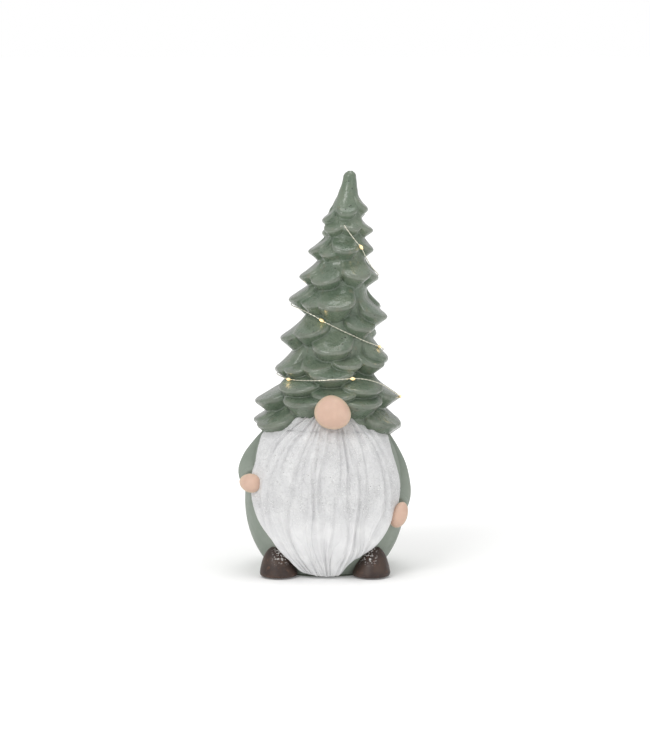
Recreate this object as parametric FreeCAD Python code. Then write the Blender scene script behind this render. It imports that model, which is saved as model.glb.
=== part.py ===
import FreeCAD, Part
import math
import os

# A glazed stoneware gnome under a tall fir-tree hat, with a string of tiny lights wound round the
# hat and a battery box let into its base.
# Millimetres. +Z is up, the figure faces -Y, and the origin is on the table under the body's axis.
# "Left" and "right" in the node names are the figure's own.

Vector = FreeCAD.Vector

# ---------------------------------------------------------------- driving dimensions
HEIGHT = 300.0            # table to the tip of the hat
FELT_THICKNESS = 1.2      # a felt ring holds the stoneware off the table
BASE_Z = FELT_THICKNESS   # underside of every fired piece

# The body is an egg: one radius, and a different half-height below and above its widest place.
BODY_RADIUS = 60.5
BODY_WAIST_Z = 52.0
BODY_BELOW = 69.0
BODY_ABOVE = 79.4
BODY_TOP_Z = 122.0        # open neck, hidden in the hat
WALL = 4.5                # cast wall
FLOOR_TOP_Z = BASE_Z + 4.0

# The beard is a fluted shell laid on the front of the body.
BEARD_RADIUS = 68.0
BEARD_BELOW = 78.8
BEARD_ABOVE = 88.3
BEARD_TOP_Z = 124.0
BOND = 0.1                # slip-and-glaze line between two fired pieces
BRIM_SEAM = 0.3           # beard and sleeves end this far under the plane of the brim
# Front outline of the beard, (x, z) down the figure's right side and down its left side.
BEARD_RIGHT_EDGE = [(-44, 126), (-51.5, 93), (-56.4, 70), (-52, 45), (-36, 21.7), (-25, 13), (-20, BASE_Z)]
BEARD_LEFT_EDGE = [(46, 126), (50.5, 93), (57, 66), (52.5, 45), (35.7, 22), (19, 11), (14.5, BASE_Z)]
GROOVES = 13              # flutes across the beard
GROOVE_RADIUS = 1.3
GROOVE_CREST_Z = 112.0    # where the flutes gather, under the nose
GROOVE_FOOT_Z = 4.0
GROOVE_FAN = 66.0         # degrees from the front to the outermost flute at its widest
GROOVE_GATHER = 0.28      # share of the fan that is left at both ends of a flute
GROOVE_BULGE = 0.7        # below 1, the fan opens and closes quickly
GROOVE_STEPS = 6

NOSE_CENTRE = Vector(5.5, -51.5, 125.0)
NOSE_HALF_WIDTH = 14.2
NOSE_RADIUS = 12.6

RIGHT_HAND_CENTRE = Vector(-57.0, -36.6, 70.0)
RIGHT_HAND_AIM = Vector(0.5, -0.85, -0.1)
RIGHT_HAND_SIZE = (8.4, 7.6)          # half-length and radius
LEFT_HAND_CENTRE = Vector(57.4, -37.2, 46.0)
LEFT_HAND_AIM = Vector(-0.47, -0.2, -0.86)
LEFT_HAND_SIZE = (10.8, 7.0)
# Sleeves: (angle from the front, height, how far the cloth stands off the body, tube radius).
RIGHT_SLEEVE = [(-104, 108, -2.0, 8.0), (-98, 96, 1.0, 8.8), (-88, 82, 5.0, 9.6), (-74, 73, 7.0, 10.0),
                (-63, 70, 6.6, 9.4)]
LEFT_SLEEVE = [(104, 108, -2.0, 8.0), (98, 92, 1.6, 8.8), (89, 73, 4.4, 9.4), (78, 58, 5.4, 9.6),
               (66, 51, 6.0, 9.0)]

BOOT_CENTRE_X = 35.2
BOOT_CENTRE_Y = -40.0
BOOT_RADIUS = 14.0
BOOT_HEIGHT = 21.4        # above the sole

# The hat: tiers of drooping branches round an axis that leans to the figure's left.
LEAN_FOOT_Z = 110.0
LEAN_FOOT_X = 1.5
LEAN_PER_MM = 0.0915
BRANCH_FULLNESS = 0.8     # below 1, branches are broad and the clefts between them narrow
# Each tier: height of its branch tips, reach of the tips, reach between them, branches, turn in
# degrees from the front, lift of the left side and lift of the front.
TIERS = [
    (110.0, 56.5, 48.0, 9, 20, -2.0, 10.0),
    (129.0, 54.0, 43.0, 9, 0, 1.0, 5.0),
    (155.0, 43.0, 33.5, 7, -3, 4.0, 2.0),
    (174.0, 40.5, 30.0, 7, 26, 1.0, 0.0),
    (197.5, 38.0, 26.0, 7, -3, -6.5, 0.0),
    (221.0, 30.5, 21.5, 6, -35, 0.0, 0.0),
    (240.0, 25.5, 17.5, 6, 15, 0.0, 0.0),
    (254.0, 20.5, 14.5, 5, -35, 0.0, 0.0),
    (267.0, 17.5, 12.0, 5, 8, 4.0, 0.0),
]
TIER_OVERLAP = 4.0        # how far a tier runs up inside the one above
# Upper face of a branch, from its tip to its root: (share of the height, share of the reach).
BRANCH_SLOPE = [(0.08, 0.97), (0.26, 0.68), (0.5, 0.36), (0.75, 0.12), (1.0, 0.0)]
ROOT_SHARE = 0.88         # a branch's root, as a share of the reach between branches above it
CORE_SHARE = 0.72         # foot of the underside, as a share of the reach between branches
UNDERSIDE_STEEPNESS = 0.85
LIP_HEIGHT = 1.3          # half the blunt edge of a tip
LIP_DRAFT = 0.8
VALLEY_RISE = 2.5         # the edge climbs between two branches
TIP_FOOT_Z = 276.0
TIP_FOOT_RADIUS = 8.9
BRIM_TILT = math.degrees(math.atan(TIERS[0][6] / TIERS[0][1]))
TIP_RADIUS = 4.2
CAVITY_FOOT_RADIUS = 29.0
CAVITY_OVERLAP = 2.0      # the cavity's foot reaches this far down into the neck
CAVITY_TOP_Z = 262.0
CAVITY_TOP_RADIUS = 5.0
POINTS_PER_BRANCH = 8

# The light string, as (turns round the hat from the front, height), from the top hole to the back hole.
STRING_ROUTE = [(-0.02, 262), (0.25, 224), (0.914, 192), (1.15, 173), (1.86, 146.5), (2.12, 146),
                (2.28, 126), (2.55, 131)]
STRING_STEPS_PER_TURN = 48
STRING_FEEL_ANGLE = 0.05  # the string rests on the furthest point within this many radians
STRING_FEEL_HEIGHT = 1.0  # and this height
STRING_TIGHTENING = 400   # rounds of pulling taut
STRING_LEAD_IN = 2        # points left out beside each hole, so the string can turn in
STRING_POINT_SPACING = 3.0
STRING_SOFTENING = 12     # rounds of averaging that give the wire its bend radius
STRING_SPAN = 48.0        # length of one face along the wire
STRING_RADIUS = 0.4
STRING_GAP = 1.8
STRING_DROP = Vector(4.0, 19.0, 114.0)      # where the string hangs clear of the back hole
TOP_HOLE_INSET = 3.0      # the string starts this far from the axis
BACK_HOLE_INSET = 22.0
HOLE_CORNER = 2.0         # the string starts to turn this far below the surface
HOLE_RADIUS = 1.6
# Lengths along the string, from its upper end and from its lower end.
TOP_HOLE_SPAN = (0.0, 18.0)
TOP_PLUG_SPAN = (4.5, 7.5)
BACK_HOLE_SPAN = (24.0, 60.0)
BACK_PLUG_SPAN = (38.0, 42.0)
PLUG_GAP = 0.02
PLUG_OVERRUN = 2.0        # the plug's bore is cut this far past both of its ends
BEADS = 10
BEAD_SPACING = 56.0
BEAD_START = 25.0
BEAD_HALF_LENGTH = 1.9
BEAD_RADIUS = 1.35
BEAD_ROUND = 1.1          # rounding of a drop's two ends
BEAD_OFFSET = 0.75        # a drop sits a little outside the wire
BEAD_BORE_LENGTH = 7.6
BORE_GAP = 0.12
CHIP_SIZE = 0.8
CHIP_GAP = 0.02

# The battery box takes two AAA cells and stands in a rectangular opening in the base.
OPENING_X = 33.0          # half-sizes of the opening
OPENING_Y = 19.0
OPENING_CORNER = 4.0
FLANGE_X = 35.5
FLANGE_Y = 21.5
FLANGE_CORNER = 7.0
FLANGE_Z = 0.2            # underside of the flange, just off the table
SEALANT_WIDTH = 0.6
SEALANT_HEIGHT = 1.8
TUB_CENTRE_X = -1.3
TUB_CENTRE_Y = -3.2
TUB_CAVITY_X = 25.2
TUB_CAVITY_Y = 11.4
TUB_ROOF_Z = 13.6
TUB_WALL = 1.5
RIM_X = 32.4
RIM_HALF_Y = 14.8
RIM_CORNER = 3.4
RIM_TOP_Z = 4.4
WIRE_SLOT_DEPTH = 0.6     # chases in the tub's end wall for the two terminals' wires
WIRE_SLOT_WIDTH = 2.4
WIRE_SLOT_FOOT_Z = 8.0

# AAA cells and their contacts.
CELL_RADIUS = 5.2
CELL_LENGTH = 43.5
CELL_ROUND = 0.5
CELL_Z = 7.9
CELL_PITCH = 11.3
NUB_RADIUS = 1.9
NUB_LENGTH = 1.0
NUB_ROOT = 0.1            # the nub is let this far into the can
CONTACT_GAP = 0.05
PLATE_THICKNESS = 0.3
PLATE_SEAT_GAP = 0.02
PLATE_FOOT_Z = 2.4
PLATE_TOP_Z = 13.3
PLATE_WIDTH = 8.4
BRIDGE_MARGIN = 0.6
SPRING_RADIUS = 2.8
SPRING_WIRE = 0.25
SPRING_PITCH = 1.5
SPRING_STEPS_PER_TURN = 12

# The door turns on two short pins at its figure's-right end and is held by one captive screw.
HINGE_X = -29.6
HINGE_Z = 1.7
BARREL_RADIUS = 1.2
BARREL_ROOM_X = (-31.5, -28.0)
BARREL_ROOM_TOP_Z = 3.2
PIN_RADIUS = 0.7
PIN_LENGTH = 1.4
PIN_CLEARANCE = 0.05
PIN_END_GAP = 0.1
DOOR_END_X = 30.8
DOOR_HALF_Y = 12.4
DOOR_Z = 0.3
DOOR_THICKNESS = 1.5
DOOR_GAP = 0.3
DOOR_HEADROOM = 0.1
GRIP_X = (14.0, 16.0, 18.0)
GRIP_WIDTH = 0.8
GRIP_HALF_LENGTH = 5.0
GRIP_DEPTH = 0.4
SCREW_X = 27.9
SCREW_HEAD_RADIUS = 2.2
SCREW_HEAD_HEIGHT = 0.9
SCREW_HEAD_SEAT = 0.05    # the head is this far inside the door's underside
SCREW_HEAD_GAP = 0.3
SCREW_SHANK_RADIUS = 1.0
SCREW_SHANK_GAP = 0.2
SCREW_TIP_Z = 10.2
SCREW_TIP_LENGTH = 1.0
SCREW_TIP_RADIUS = 0.3
CROSS_HALF_LENGTH = 1.3
CROSS_HALF_WIDTH = 0.28
CROSS_DEPTH = 0.55
BOSS_RADIUS = 3.6
BOSS_TOP_Z = 11.8
BOSS_MOUTH_RADIUS = 2.5
BOSS_MOUTH_TOP_Z = 7.2
BOSS_HOLE_RADIUS = 1.5
BOSS_HOLE_TOP_Z = 10.8
RETAINER_Z = 6.3
RETAINER_THICKNESS = 0.5
RETAINER_RADIUS = 1.9
RETAINER_GAP = 0.03

# Slide switch and timer board, behind the cells.
SWITCH_X = 8.0
SWITCH_Y = 14.8
SWITCH_LENGTH = 12.6
SWITCH_WIDTH = 5.4
SWITCH_WALL = 0.7
SWITCH_FLOOR = 0.6
SWITCH_ROOF = 0.8
SWITCH_SEAT_GAP = 0.02
SWITCH_TRAVEL = 4.0       # off to on, with the timer position halfway
SLOT_END_GAP = 0.3
BOX_SLOT_SIDE_GAP = 0.3
SWITCH_SLOT_SIDE_GAP = 0.2
KNOB_LENGTH = 3.4
KNOB_WIDTH = 2.2
KNOB_Z = (0.3, 2.4)
SHOE_LENGTH = 4.4         # the knob's foot, which slides inside the housing
SHOE_WIDTH = 3.6
SHOE_Z = (1.9, 4.2)
RIDGE_X = (-0.9, 0.0, 0.9)
RIDGE_WIDTH = 0.5
RIDGE_TOP_Z = 0.6
BOARD_Z = 6.4
BOARD_THICKNESS = 1.2
BOARD_X = (-16.0, 18.5)
BOARD_Y = (11.0, 18.4)
BOARD_MIDDLE_Y = sum(BOARD_Y) / 2
POST_X = (-13.0, 16.6)
POST_RADIUS = 1.8
PILOT_DEPTH = 4.2
PILOT_GAP = 0.05
BOARD_HOLE_GAP = 0.15
BOARD_SCREW_RADIUS = 0.8
BOARD_SCREW_LENGTH = 5.0  # driven past the pilot's end into the post
BOARD_SCREW_HEAD_RADIUS = 1.6
BOARD_SCREW_HEAD_HEIGHT = 1.0
BOARD_SCREW_RECESS_RADIUS = 0.6
SOLDER_GAP = 0.02
TIMER_CHIP_X = (-4.0, 1.0)
TIMER_CHIP_WIDTH = 4.0
TIMER_CHIP_HEIGHT = 1.5
CRYSTAL_X = 4.0
CRYSTAL_LENGTH = 6.0
CRYSTAL_RADIUS = 1.0
RESISTOR_X = (-9.5, 11.8)
RESISTOR_SIZE = (2.0, 1.2, 0.5)

# Two leads run up from the board to a splice inside the neck.
LEAD_RADIUS = 0.6
LEAD_FOOT_X = -5.9
LEAD_FOOT_SPREAD = 0.9
LEAD_FOOT_GAP = 0.05
LEAD_SPREAD = 0.8         # from the splice's axis to a lead's
LEAD_INSERTION = 4.0      # length of a lead inside the splice
LEAD_STRAIGHT = 6.0       # and straight below it
LEAD_POINT_SPACING = 4.0
LEAD_SOFTENING = 4
# Middle points of a lead: (x, how far the two leads stand apart from it, y, z).
LEAD_BENDS = [
    (-5.9, 0.9, 14.7, 13.7),
    (-8.0, 1.0, 12.0, 34.0),
    (-6.0, 1.4, 6.0, 58.0),
    (0.0, 0.8, 12.0, 78.0),
]
SPLICE_CENTRE = Vector(2.0, 18.0, 98.0)
SPLICE_LENGTH = 12.0
SPLICE_RADIUS = 2.0
SPLICE_GAP = 0.05

FELT_RADIUS = 40.8
FELT_GAP = 0.4            # between the felt and the flange of the battery box

UP = Vector(0, 0, 1)
UPRIGHT = 0.99            # an edge counts as upright when its slope is above this
FAR = 90.0                # further out than any piece reaches
CUT_PAST = 1.0            # a cutting block passes the face it opens by this much


# ---------------------------------------------------------------- small helpers
def box(x, y, z):
    """A block from three (low, high) pairs."""
    block = Part.makeBox(x[1] - x[0], y[1] - y[0], z[1] - z[0])
    block.translate(Vector(x[0], y[0], z[0]))
    return block


def post(x, y, z, radius):
    """An upright cylinder between the two heights in z."""
    return Part.makeCylinder(radius, z[1] - z[0], Vector(x, y, z[0]), UP)


def rounded_block(half_x, half_y, z, corner):
    """A block centred on the axis with rounded upright edges."""
    block = box((-half_x, half_x), (-half_y, half_y), z)
    upright = [e for e in block.Edges if abs(e.tangentAt(e.FirstParameter).z) > UPRIGHT]
    return block.makeFillet(corner, upright)


def spheroid(centre, along, half_length, radius):
    """A solid of revolution of an ellipse round the line through centre along a direction."""
    if half_length >= radius:
        ellipse = Part.Ellipse(Vector(half_length, 0, 0), Vector(0, radius, 0), Vector(0, 0, 0))
        arc = Part.ArcOfEllipse(ellipse, 0, math.pi).toShape()
    else:
        ellipse = Part.Ellipse(Vector(0, radius, 0), Vector(-half_length, 0, 0), Vector(0, 0, 0))
        arc = Part.ArcOfEllipse(ellipse, -math.pi / 2, math.pi / 2).toShape()
    chord = Part.makeLine(arc.Vertexes[0].Point, arc.Vertexes[-1].Point)
    face = Part.Face(Part.Wire(Part.__sortEdges__([arc, chord])))
    solid = face.revolve(Vector(0, 0, 0), Vector(1, 0, 0), 360)
    turn = FreeCAD.Rotation(Vector(1, 0, 0), along)
    solid.Placement = FreeCAD.Placement(centre, turn)
    return solid


def ellipse_radius(radius, below, above, z):
    """Radius at height z of an egg whose widest place is at the body's waist."""
    half = below if z < BODY_WAIST_Z else above
    share = (z - BODY_WAIST_Z) / half
    return radius * math.sqrt(max(0.0, 1 - share * share))


def egg(radius, below, above, z_low, z_high):
    """A solid egg cut flat at two heights, one on each side of the waist."""
    waist = Vector(0, 0, BODY_WAIST_Z)
    side = Vector(radius, 0, BODY_WAIST_Z)
    lower = Part.Ellipse(Vector(0, 0, BODY_WAIST_Z - below), side, waist)
    upper = Part.Ellipse(Vector(0, 0, BODY_WAIST_Z + above), side, waist)
    t_low = math.acos((BODY_WAIST_Z - z_low) / below)
    t_high = math.acos((z_high - BODY_WAIST_Z) / above)
    low_arc = Part.ArcOfEllipse(lower, t_low, math.pi / 2).toShape()
    high_arc = Part.ArcOfEllipse(upper, t_high, math.pi / 2).toShape()
    low_r = ellipse_radius(radius, below, above, z_low)
    high_r = ellipse_radius(radius, below, above, z_high)
    foot, top = Vector(0, 0, z_low), Vector(0, 0, z_high)
    edges = [
        Part.makeLine(foot, Vector(low_r, 0, z_low)),
        low_arc,
        high_arc,
        Part.makeLine(Vector(high_r, 0, z_high), top),
        Part.makeLine(top, foot),
    ]
    face = Part.Face(Part.Wire(Part.__sortEdges__(edges)))
    return face.revolve(Vector(0, 0, 0), UP, 360)


def body_egg(offset, z_low=BASE_Z, z_high=BODY_TOP_Z):
    """The body's outer form, grown by offset."""
    return egg(BODY_RADIUS + offset, BODY_BELOW + offset, BODY_ABOVE + offset, z_low, z_high)


def smooth_wire(points):
    """One open spline through the points."""
    curve = Part.BSplineCurve()
    curve.interpolate(Points=points)
    return Part.Wire([curve.toShape()])


def tube(points, radius):
    """A round tube along a spline through the points."""
    path = smooth_wire(points)
    start = path.Edges[0]
    ahead = start.tangentAt(start.FirstParameter)
    ring = Part.Wire([Part.makeCircle(radius, points[0], ahead)])
    return path.makePipeShell([ring], True, False)


def around(angle_degrees, distance, z):
    """A point at an angle from the figure's front, positive towards its left."""
    a = math.radians(angle_degrees)
    return Vector(distance * math.sin(a), -distance * math.cos(a), z)


def main_solid(shape):
    """The largest solid of a boolean's result."""
    return max(shape.Solids, key=lambda s: s.Volume)


# ---------------------------------------------------------------- the hat
def lean_x(z):
    return LEAN_FOOT_X + LEAN_PER_MM * (z - LEAN_FOOT_Z)


def branch_swell(angle, branches, turn):
    """1 at a branch's middle and 0 between two branches."""
    return (0.5 + 0.5 * math.cos(branches * (angle - math.radians(turn)))) ** BRANCH_FULLNESS


def tier_root(index):
    """Height and reach of the place where one tier disappears into the one above."""
    if index + 1 < len(TIERS):
        return TIERS[index + 1][0] + TIER_OVERLAP, ROOT_SHARE * TIERS[index + 1][2]
    return TIP_FOOT_Z + TIER_OVERLAP, ROOT_SHARE * TIP_FOOT_RADIUS


def tier_profile(index, angle):
    """(height, reach) down one side of a tier at an angle, from under the lip to the root."""
    z_lip, tip, valley, branches, turn, side_lift, front_lift = TIERS[index]
    z_root, r_root = tier_root(index)
    swell = branch_swell(angle, branches, turn)
    lift = side_lift * math.sin(angle) + front_lift * math.cos(angle) + VALLEY_RISE * (1 - swell)
    reach = valley + (tip - valley) * swell
    core = CORE_SHARE * valley
    z_foot = z_lip - UNDERSIDE_STEEPNESS * (tip - core)
    profile = [(z_foot, core), (z_lip + lift - LIP_HEIGHT, reach - LIP_DRAFT), (z_lip + lift, reach)]
    for share, spread in BRANCH_SLOPE:
        z = z_lip + lift * (1 - share) + share * (z_root - z_lip)
        profile.append((z, r_root + spread * (reach - r_root)))
    return profile


def hat_point(angle, z, reach):
    return Vector(lean_x(z) + reach * math.sin(angle), -reach * math.cos(angle), z)


def hat_tier(index):
    """Ruled skin through closed splines, one for each level of the tier's profile."""
    count = TIERS[index][3] * POINTS_PER_BRANCH
    profiles = []
    for k in range(count):
        angle = 2 * math.pi * k / count
        profiles.append([hat_point(angle, z, r) for z, r in tier_profile(index, angle)])
    wires = []
    for level in zip(*profiles):
        curve = Part.BSplineCurve()
        curve.interpolate(Points=list(level), PeriodicFlag=True)
        wires.append(Part.Wire([curve.toShape()]))
    return Part.makeLoft(wires, True, True)


def hat_tip():
    """The plain leader at the top, ending in a ball."""
    top_z = HEIGHT - TIP_RADIUS
    foot = Part.makeCircle(TIP_FOOT_RADIUS, Vector(lean_x(TIP_FOOT_Z), 0, TIP_FOOT_Z), UP)
    head = Part.makeCircle(TIP_RADIUS, Vector(lean_x(top_z), 0, top_z), UP)
    leader = Part.makeLoft([Part.Wire([foot]), Part.Wire([head])], True, True)
    ball = Part.makeSphere(TIP_RADIUS, Vector(lean_x(top_z), 0, top_z))
    return leader.fuse(ball)


def hat_cavity():
    foot_z = BODY_TOP_Z - CAVITY_OVERLAP
    foot = Part.makeCircle(CAVITY_FOOT_RADIUS, Vector(lean_x(foot_z), 0, foot_z), UP)
    head = Part.makeCircle(CAVITY_TOP_RADIUS, Vector(lean_x(CAVITY_TOP_Z), 0, CAVITY_TOP_Z), UP)
    return Part.makeLoft([Part.Wire([foot]), Part.Wire([head])], True, True)


def nose(gap=0.0):
    return spheroid(NOSE_CENTRE, Vector(1, 0, 0), NOSE_HALF_WIDTH + gap, NOSE_RADIUS + gap)


def hat_shell(string):
    tiers = [hat_tier(i) for i in range(len(TIERS))]
    outside = tiers[0].fuse(tiers[1:] + [hat_tip()])
    hollow = [body_egg(BOND, BASE_Z, BODY_TOP_Z + BOND), hat_cavity(), nose(BOND)]
    hollow += [beard_blank(BOND), sleeve_form(RIGHT_SLEEVE, BOND), sleeve_form(LEFT_SLEEVE, BOND)]
    for span in (TOP_HOLE_SPAN, from_lower_end(BACK_HOLE_SPAN, string)):
        hollow.append(string_rod(string, span, HOLE_RADIUS))
    return main_solid(outside.cut(hollow))


def tier_reach(index, angle, z):
    """Reach of one tier at an angle and height, or 0 where it has no material."""
    profile = tier_profile(index, angle)
    for (z0, r0), (z1, r1) in zip(profile, profile[1:]):
        if z0 <= z <= z1:
            return r0 + (z - z0) / (z1 - z0) * (r1 - r0)
    return 0.0


def hat_reach(angle, z):
    return max(tier_reach(i, angle, z) for i in range(len(TIERS)))


# ---------------------------------------------------------------- the figure
def body_shell():
    shell = body_egg(0).cut(body_egg(-WALL, FLOOR_TOP_Z, BODY_TOP_Z))
    opening = rounded_block(OPENING_X, OPENING_Y, (0, FLOOR_TOP_Z + CUT_PAST), OPENING_CORNER)
    neck = post(0, 0, (BODY_TOP_Z - CUT_PAST, BODY_TOP_Z + CUT_PAST), CAVITY_FOOT_RADIUS - WALL)
    return main_solid(shell.cut([opening, neck]))


def above_brim(gap=0.0):
    """Everything above the tilted plane just under the hat's brim."""
    z_lip = TIERS[0][0]
    slab = box((-FAR, FAR), (-FAR, FAR), (z_lip - BRIM_SEAM + gap, z_lip + FAR))
    slab.rotate(Vector(lean_x(z_lip), 0, z_lip), Vector(1, 0, 0), -BRIM_TILT)
    return slab


def beard_prism(gap):
    right = [Vector(x - gap, 0, z) for x, z in BEARD_RIGHT_EDGE]
    left = [Vector(x + gap, 0, z) for x, z in BEARD_LEFT_EDGE]
    outline = [
        smooth_wire(right).Edges[0],
        Part.makeLine(right[-1], left[-1]),
        smooth_wire(left).Edges[0],
        Part.makeLine(left[0], right[0]),
    ]
    face = Part.Face(Part.Wire(Part.__sortEdges__(outline)))
    return face.extrude(Vector(0, -FAR, 0))


def beard_grooves():
    """Round-bottomed flutes that fan out from under the nose and gather again at the foot."""
    grooves = []
    for k in range(GROOVES):
        side = 2 * (k + 0.5) / GROOVES - 1
        points = []
        for step in range(GROOVE_STEPS + 1):
            share = step / GROOVE_STEPS
            z = GROOVE_CREST_Z + share * (GROOVE_FOOT_Z - GROOVE_CREST_Z)
            opening = abs(math.sin(math.pi * share)) ** GROOVE_BULGE
            spread = GROOVE_GATHER + (1 - GROOVE_GATHER) * opening
            r = ellipse_radius(BEARD_RADIUS, BEARD_BELOW, BEARD_ABOVE, z)
            points.append(around(GROOVE_FAN * side * spread, r, z))
        grooves.append(tube(points, GROOVE_RADIUS))
    return grooves


def beard_blank(gap=0.0):
    """The beard before its flutes are cut, grown by gap."""
    outer = egg(BEARD_RADIUS + gap, BEARD_BELOW + gap, BEARD_ABOVE + gap, BASE_Z, BEARD_TOP_Z)
    shell = outer.cut(body_egg(BOND, BASE_Z, BEARD_TOP_Z + CUT_PAST))
    return main_solid(shell.common(beard_prism(gap)).cut(above_brim(gap)))


def beard(blank, hands):
    return main_solid(blank.cut(beard_grooves() + hands + [nose(BOND)]))


def sleeve_form(stations, gap=0.0):
    """A tube laid down the side of the body, through a ring at each station."""
    points = []
    for angle, z, stand_off, radius in stations:
        r = ellipse_radius(BODY_RADIUS, BODY_BELOW, BODY_ABOVE, z) + stand_off - radius
        points.append(around(angle, r, z))
    rings = []
    for i, point in enumerate(points):
        ahead = points[min(i + 1, len(points) - 1)] - points[max(i - 1, 0)]
        rings.append(Part.Wire([Part.makeCircle(stations[i][3] + gap, point, ahead)]))
    return Part.makeLoft(rings, True, False).cut(above_brim(gap))


def sleeve(stations, beard_space, hand_space):
    return main_solid(sleeve_form(stations).cut([body_egg(BOND), beard_space, hand_space]))


def right_hand(gap=0.0):
    half_length, radius = RIGHT_HAND_SIZE
    return spheroid(RIGHT_HAND_CENTRE, RIGHT_HAND_AIM, half_length + gap, radius + gap)


def left_hand(gap=0.0):
    half_length, radius = LEFT_HAND_SIZE
    return spheroid(LEFT_HAND_CENTRE, LEFT_HAND_AIM, half_length + gap, radius + gap)


def boot(side, blank):
    centre = Vector(side * BOOT_CENTRE_X, BOOT_CENTRE_Y, BASE_Z)
    toe = spheroid(centre, UP, BOOT_HEIGHT, BOOT_RADIUS)
    below = box((-FAR, FAR), (-FAR, FAR), (-FAR, BASE_Z))
    return main_solid(toe.cut([below, body_egg(BOND), blank]))


# ---------------------------------------------------------------- the light string
def string_height(turns):
    for (t0, z0), (t1, z1) in zip(STRING_ROUTE, STRING_ROUTE[1:]):
        if turns <= t1:
            return z0 + (turns - t0) / (t1 - t0) * (z1 - z0)
    return STRING_ROUTE[-1][1]


def soften(points, rounds):
    """Each point moved towards its neighbours, with both ends kept."""
    for _ in range(rounds):
        middle = [(a + b * 2 + c) / 4 for a, b, c in zip(points, points[1:], points[2:])]
        points = [points[0]] + middle + [points[-1]]
    return points


def string_points():
    """A taut line round the hat: it rests on the branch tips and spans the gaps between them."""
    first, last = STRING_ROUTE[0][0], STRING_ROUTE[-1][0]
    count = int((last - first) * STRING_STEPS_PER_TURN)
    stand_off = STRING_RADIUS + STRING_GAP
    angles, heights, rest = [], [], []
    for k in range(count + 1):
        turns = first + (last - first) * k / count
        angle = 2 * math.pi * turns
        z = string_height(turns)
        nearby = [
            hat_reach(angle + da, z + dz)
            for da in (-STRING_FEEL_ANGLE, 0, STRING_FEEL_ANGLE)
            for dz in (-STRING_FEEL_HEIGHT, 0, STRING_FEEL_HEIGHT)
        ]
        angles.append(angle)
        heights.append(z)
        rest.append(max(nearby) + stand_off)
    reach = list(rest)
    chord = math.cos(angles[1] - angles[0])
    for _ in range(STRING_TIGHTENING):
        for k in range(1, count):
            span = 2 * chord * reach[k - 1] * reach[k + 1] / (reach[k - 1] + reach[k + 1])
            reach[k] = max(rest[k], span)
    return [hat_point(angle, z, r) for angle, z, r in zip(angles, heights, reach)]


def string_end(turns, z, inset):
    """Two points that carry the string straight out from an inset to just under the hat's surface."""
    angle = 2 * math.pi * turns
    return [hat_point(angle, z, inset), hat_point(angle, z, hat_reach(angle, z) - HOLE_CORNER)]


def string_path():
    """The whole wire: in at the top hole, round the hat, in at the back hole, down to the splice."""
    top = string_end(*STRING_ROUTE[0], TOP_HOLE_INSET)
    back = string_end(*STRING_ROUTE[-1], BACK_HOLE_INSET)
    back.reverse()
    splice_top = SPLICE_CENTRE + UP * (SPLICE_LENGTH / 2)
    outside = string_points()[STRING_LEAD_IN:-STRING_LEAD_IN]
    corners = top + outside + back + [STRING_DROP, splice_top]
    points = Part.makePolygon(corners).discretize(Distance=STRING_POINT_SPACING)
    return soften(points, STRING_SOFTENING)


def from_lower_end(span, path):
    """Lengths counted from the string's lower end, turned into lengths from its upper end."""
    length = smooth_wire(path).Length
    return length - span[1], length - span[0]


def string_rod(path, span, radius):
    """A round rod along the string between two lengths, in one face for each short stretch."""
    curve = Part.BSplineCurve()
    curve.interpolate(Points=path)
    whole = curve.toShape()
    count = math.ceil((span[1] - span[0]) / STRING_SPAN)
    stops = [span[0] + (span[1] - span[0]) * k / count for k in range(count + 1)]
    places = [min(whole.getParameterByLength(stop), curve.LastParameter) for stop in stops]
    stretches = []
    for low, high in zip(places, places[1:]):
        stretch = curve.copy()
        stretch.segment(low, high)
        stretches.append(stretch.toShape())
    ring = Part.makeCircle(radius, whole.valueAt(places[0]), whole.tangentAt(places[0]))
    return Part.Wire(stretches).makePipeShell([Part.Wire([ring])], True, False)


def light_wire(path):
    return string_rod(path, (0, smooth_wire(path).Length), STRING_RADIUS)


def bead_stations(path):
    """Evenly spaced (point, direction, outward) triples along the string outside the hat."""
    edge = smooth_wire(path).Edges[0]
    stations = []
    for k in range(BEADS):
        t = edge.getParameterByLength(BEAD_START + k * BEAD_SPACING)
        point, ahead = edge.valueAt(t), edge.tangentAt(t)
        outward = Vector(point.x - lean_x(point.z), point.y, 0)
        outward = (outward - ahead * outward.dot(ahead)).normalize()
        stations.append((point, ahead, outward))
    return stations


def led_chips(path, gap=0.0):
    """Square chips soldered to the outer side of the string."""
    half = CHIP_SIZE / 2 + gap
    chips = []
    for point, ahead, outward in bead_stations(path):
        chip = box((-half, half), (-half, half), (-half / 2, half / 2))
        turn = FreeCAD.Rotation(ahead, outward.cross(ahead), outward, "ZXY")
        chip.Placement = FreeCAD.Placement(point + outward * (STRING_RADIUS + CHIP_SIZE / 2), turn)
        chips.append(chip)
    return chips


def round_edges(solid):
    return [e for e in solid.Edges if e.Curve.TypeId == "Part::GeomCircle"]


def led_beads(path):
    """Resin drops on the string, each with a bore for the wire and a pocket for its chip."""
    beads = []
    for (point, ahead, outward), chip in zip(bead_stations(path), led_chips(path, CHIP_GAP)):
        start = point + outward * BEAD_OFFSET - ahead * BEAD_HALF_LENGTH
        rod = Part.makeCylinder(BEAD_RADIUS, 2 * BEAD_HALF_LENGTH, start, ahead)
        drop = rod.makeFillet(BEAD_ROUND, round_edges(rod))
        bore_start = point - ahead * (BEAD_BORE_LENGTH / 2)
        bore = Part.makeCylinder(STRING_RADIUS + BORE_GAP, BEAD_BORE_LENGTH, bore_start, ahead)
        beads.append(main_solid(drop.cut([bore, chip])))
    return beads


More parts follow.
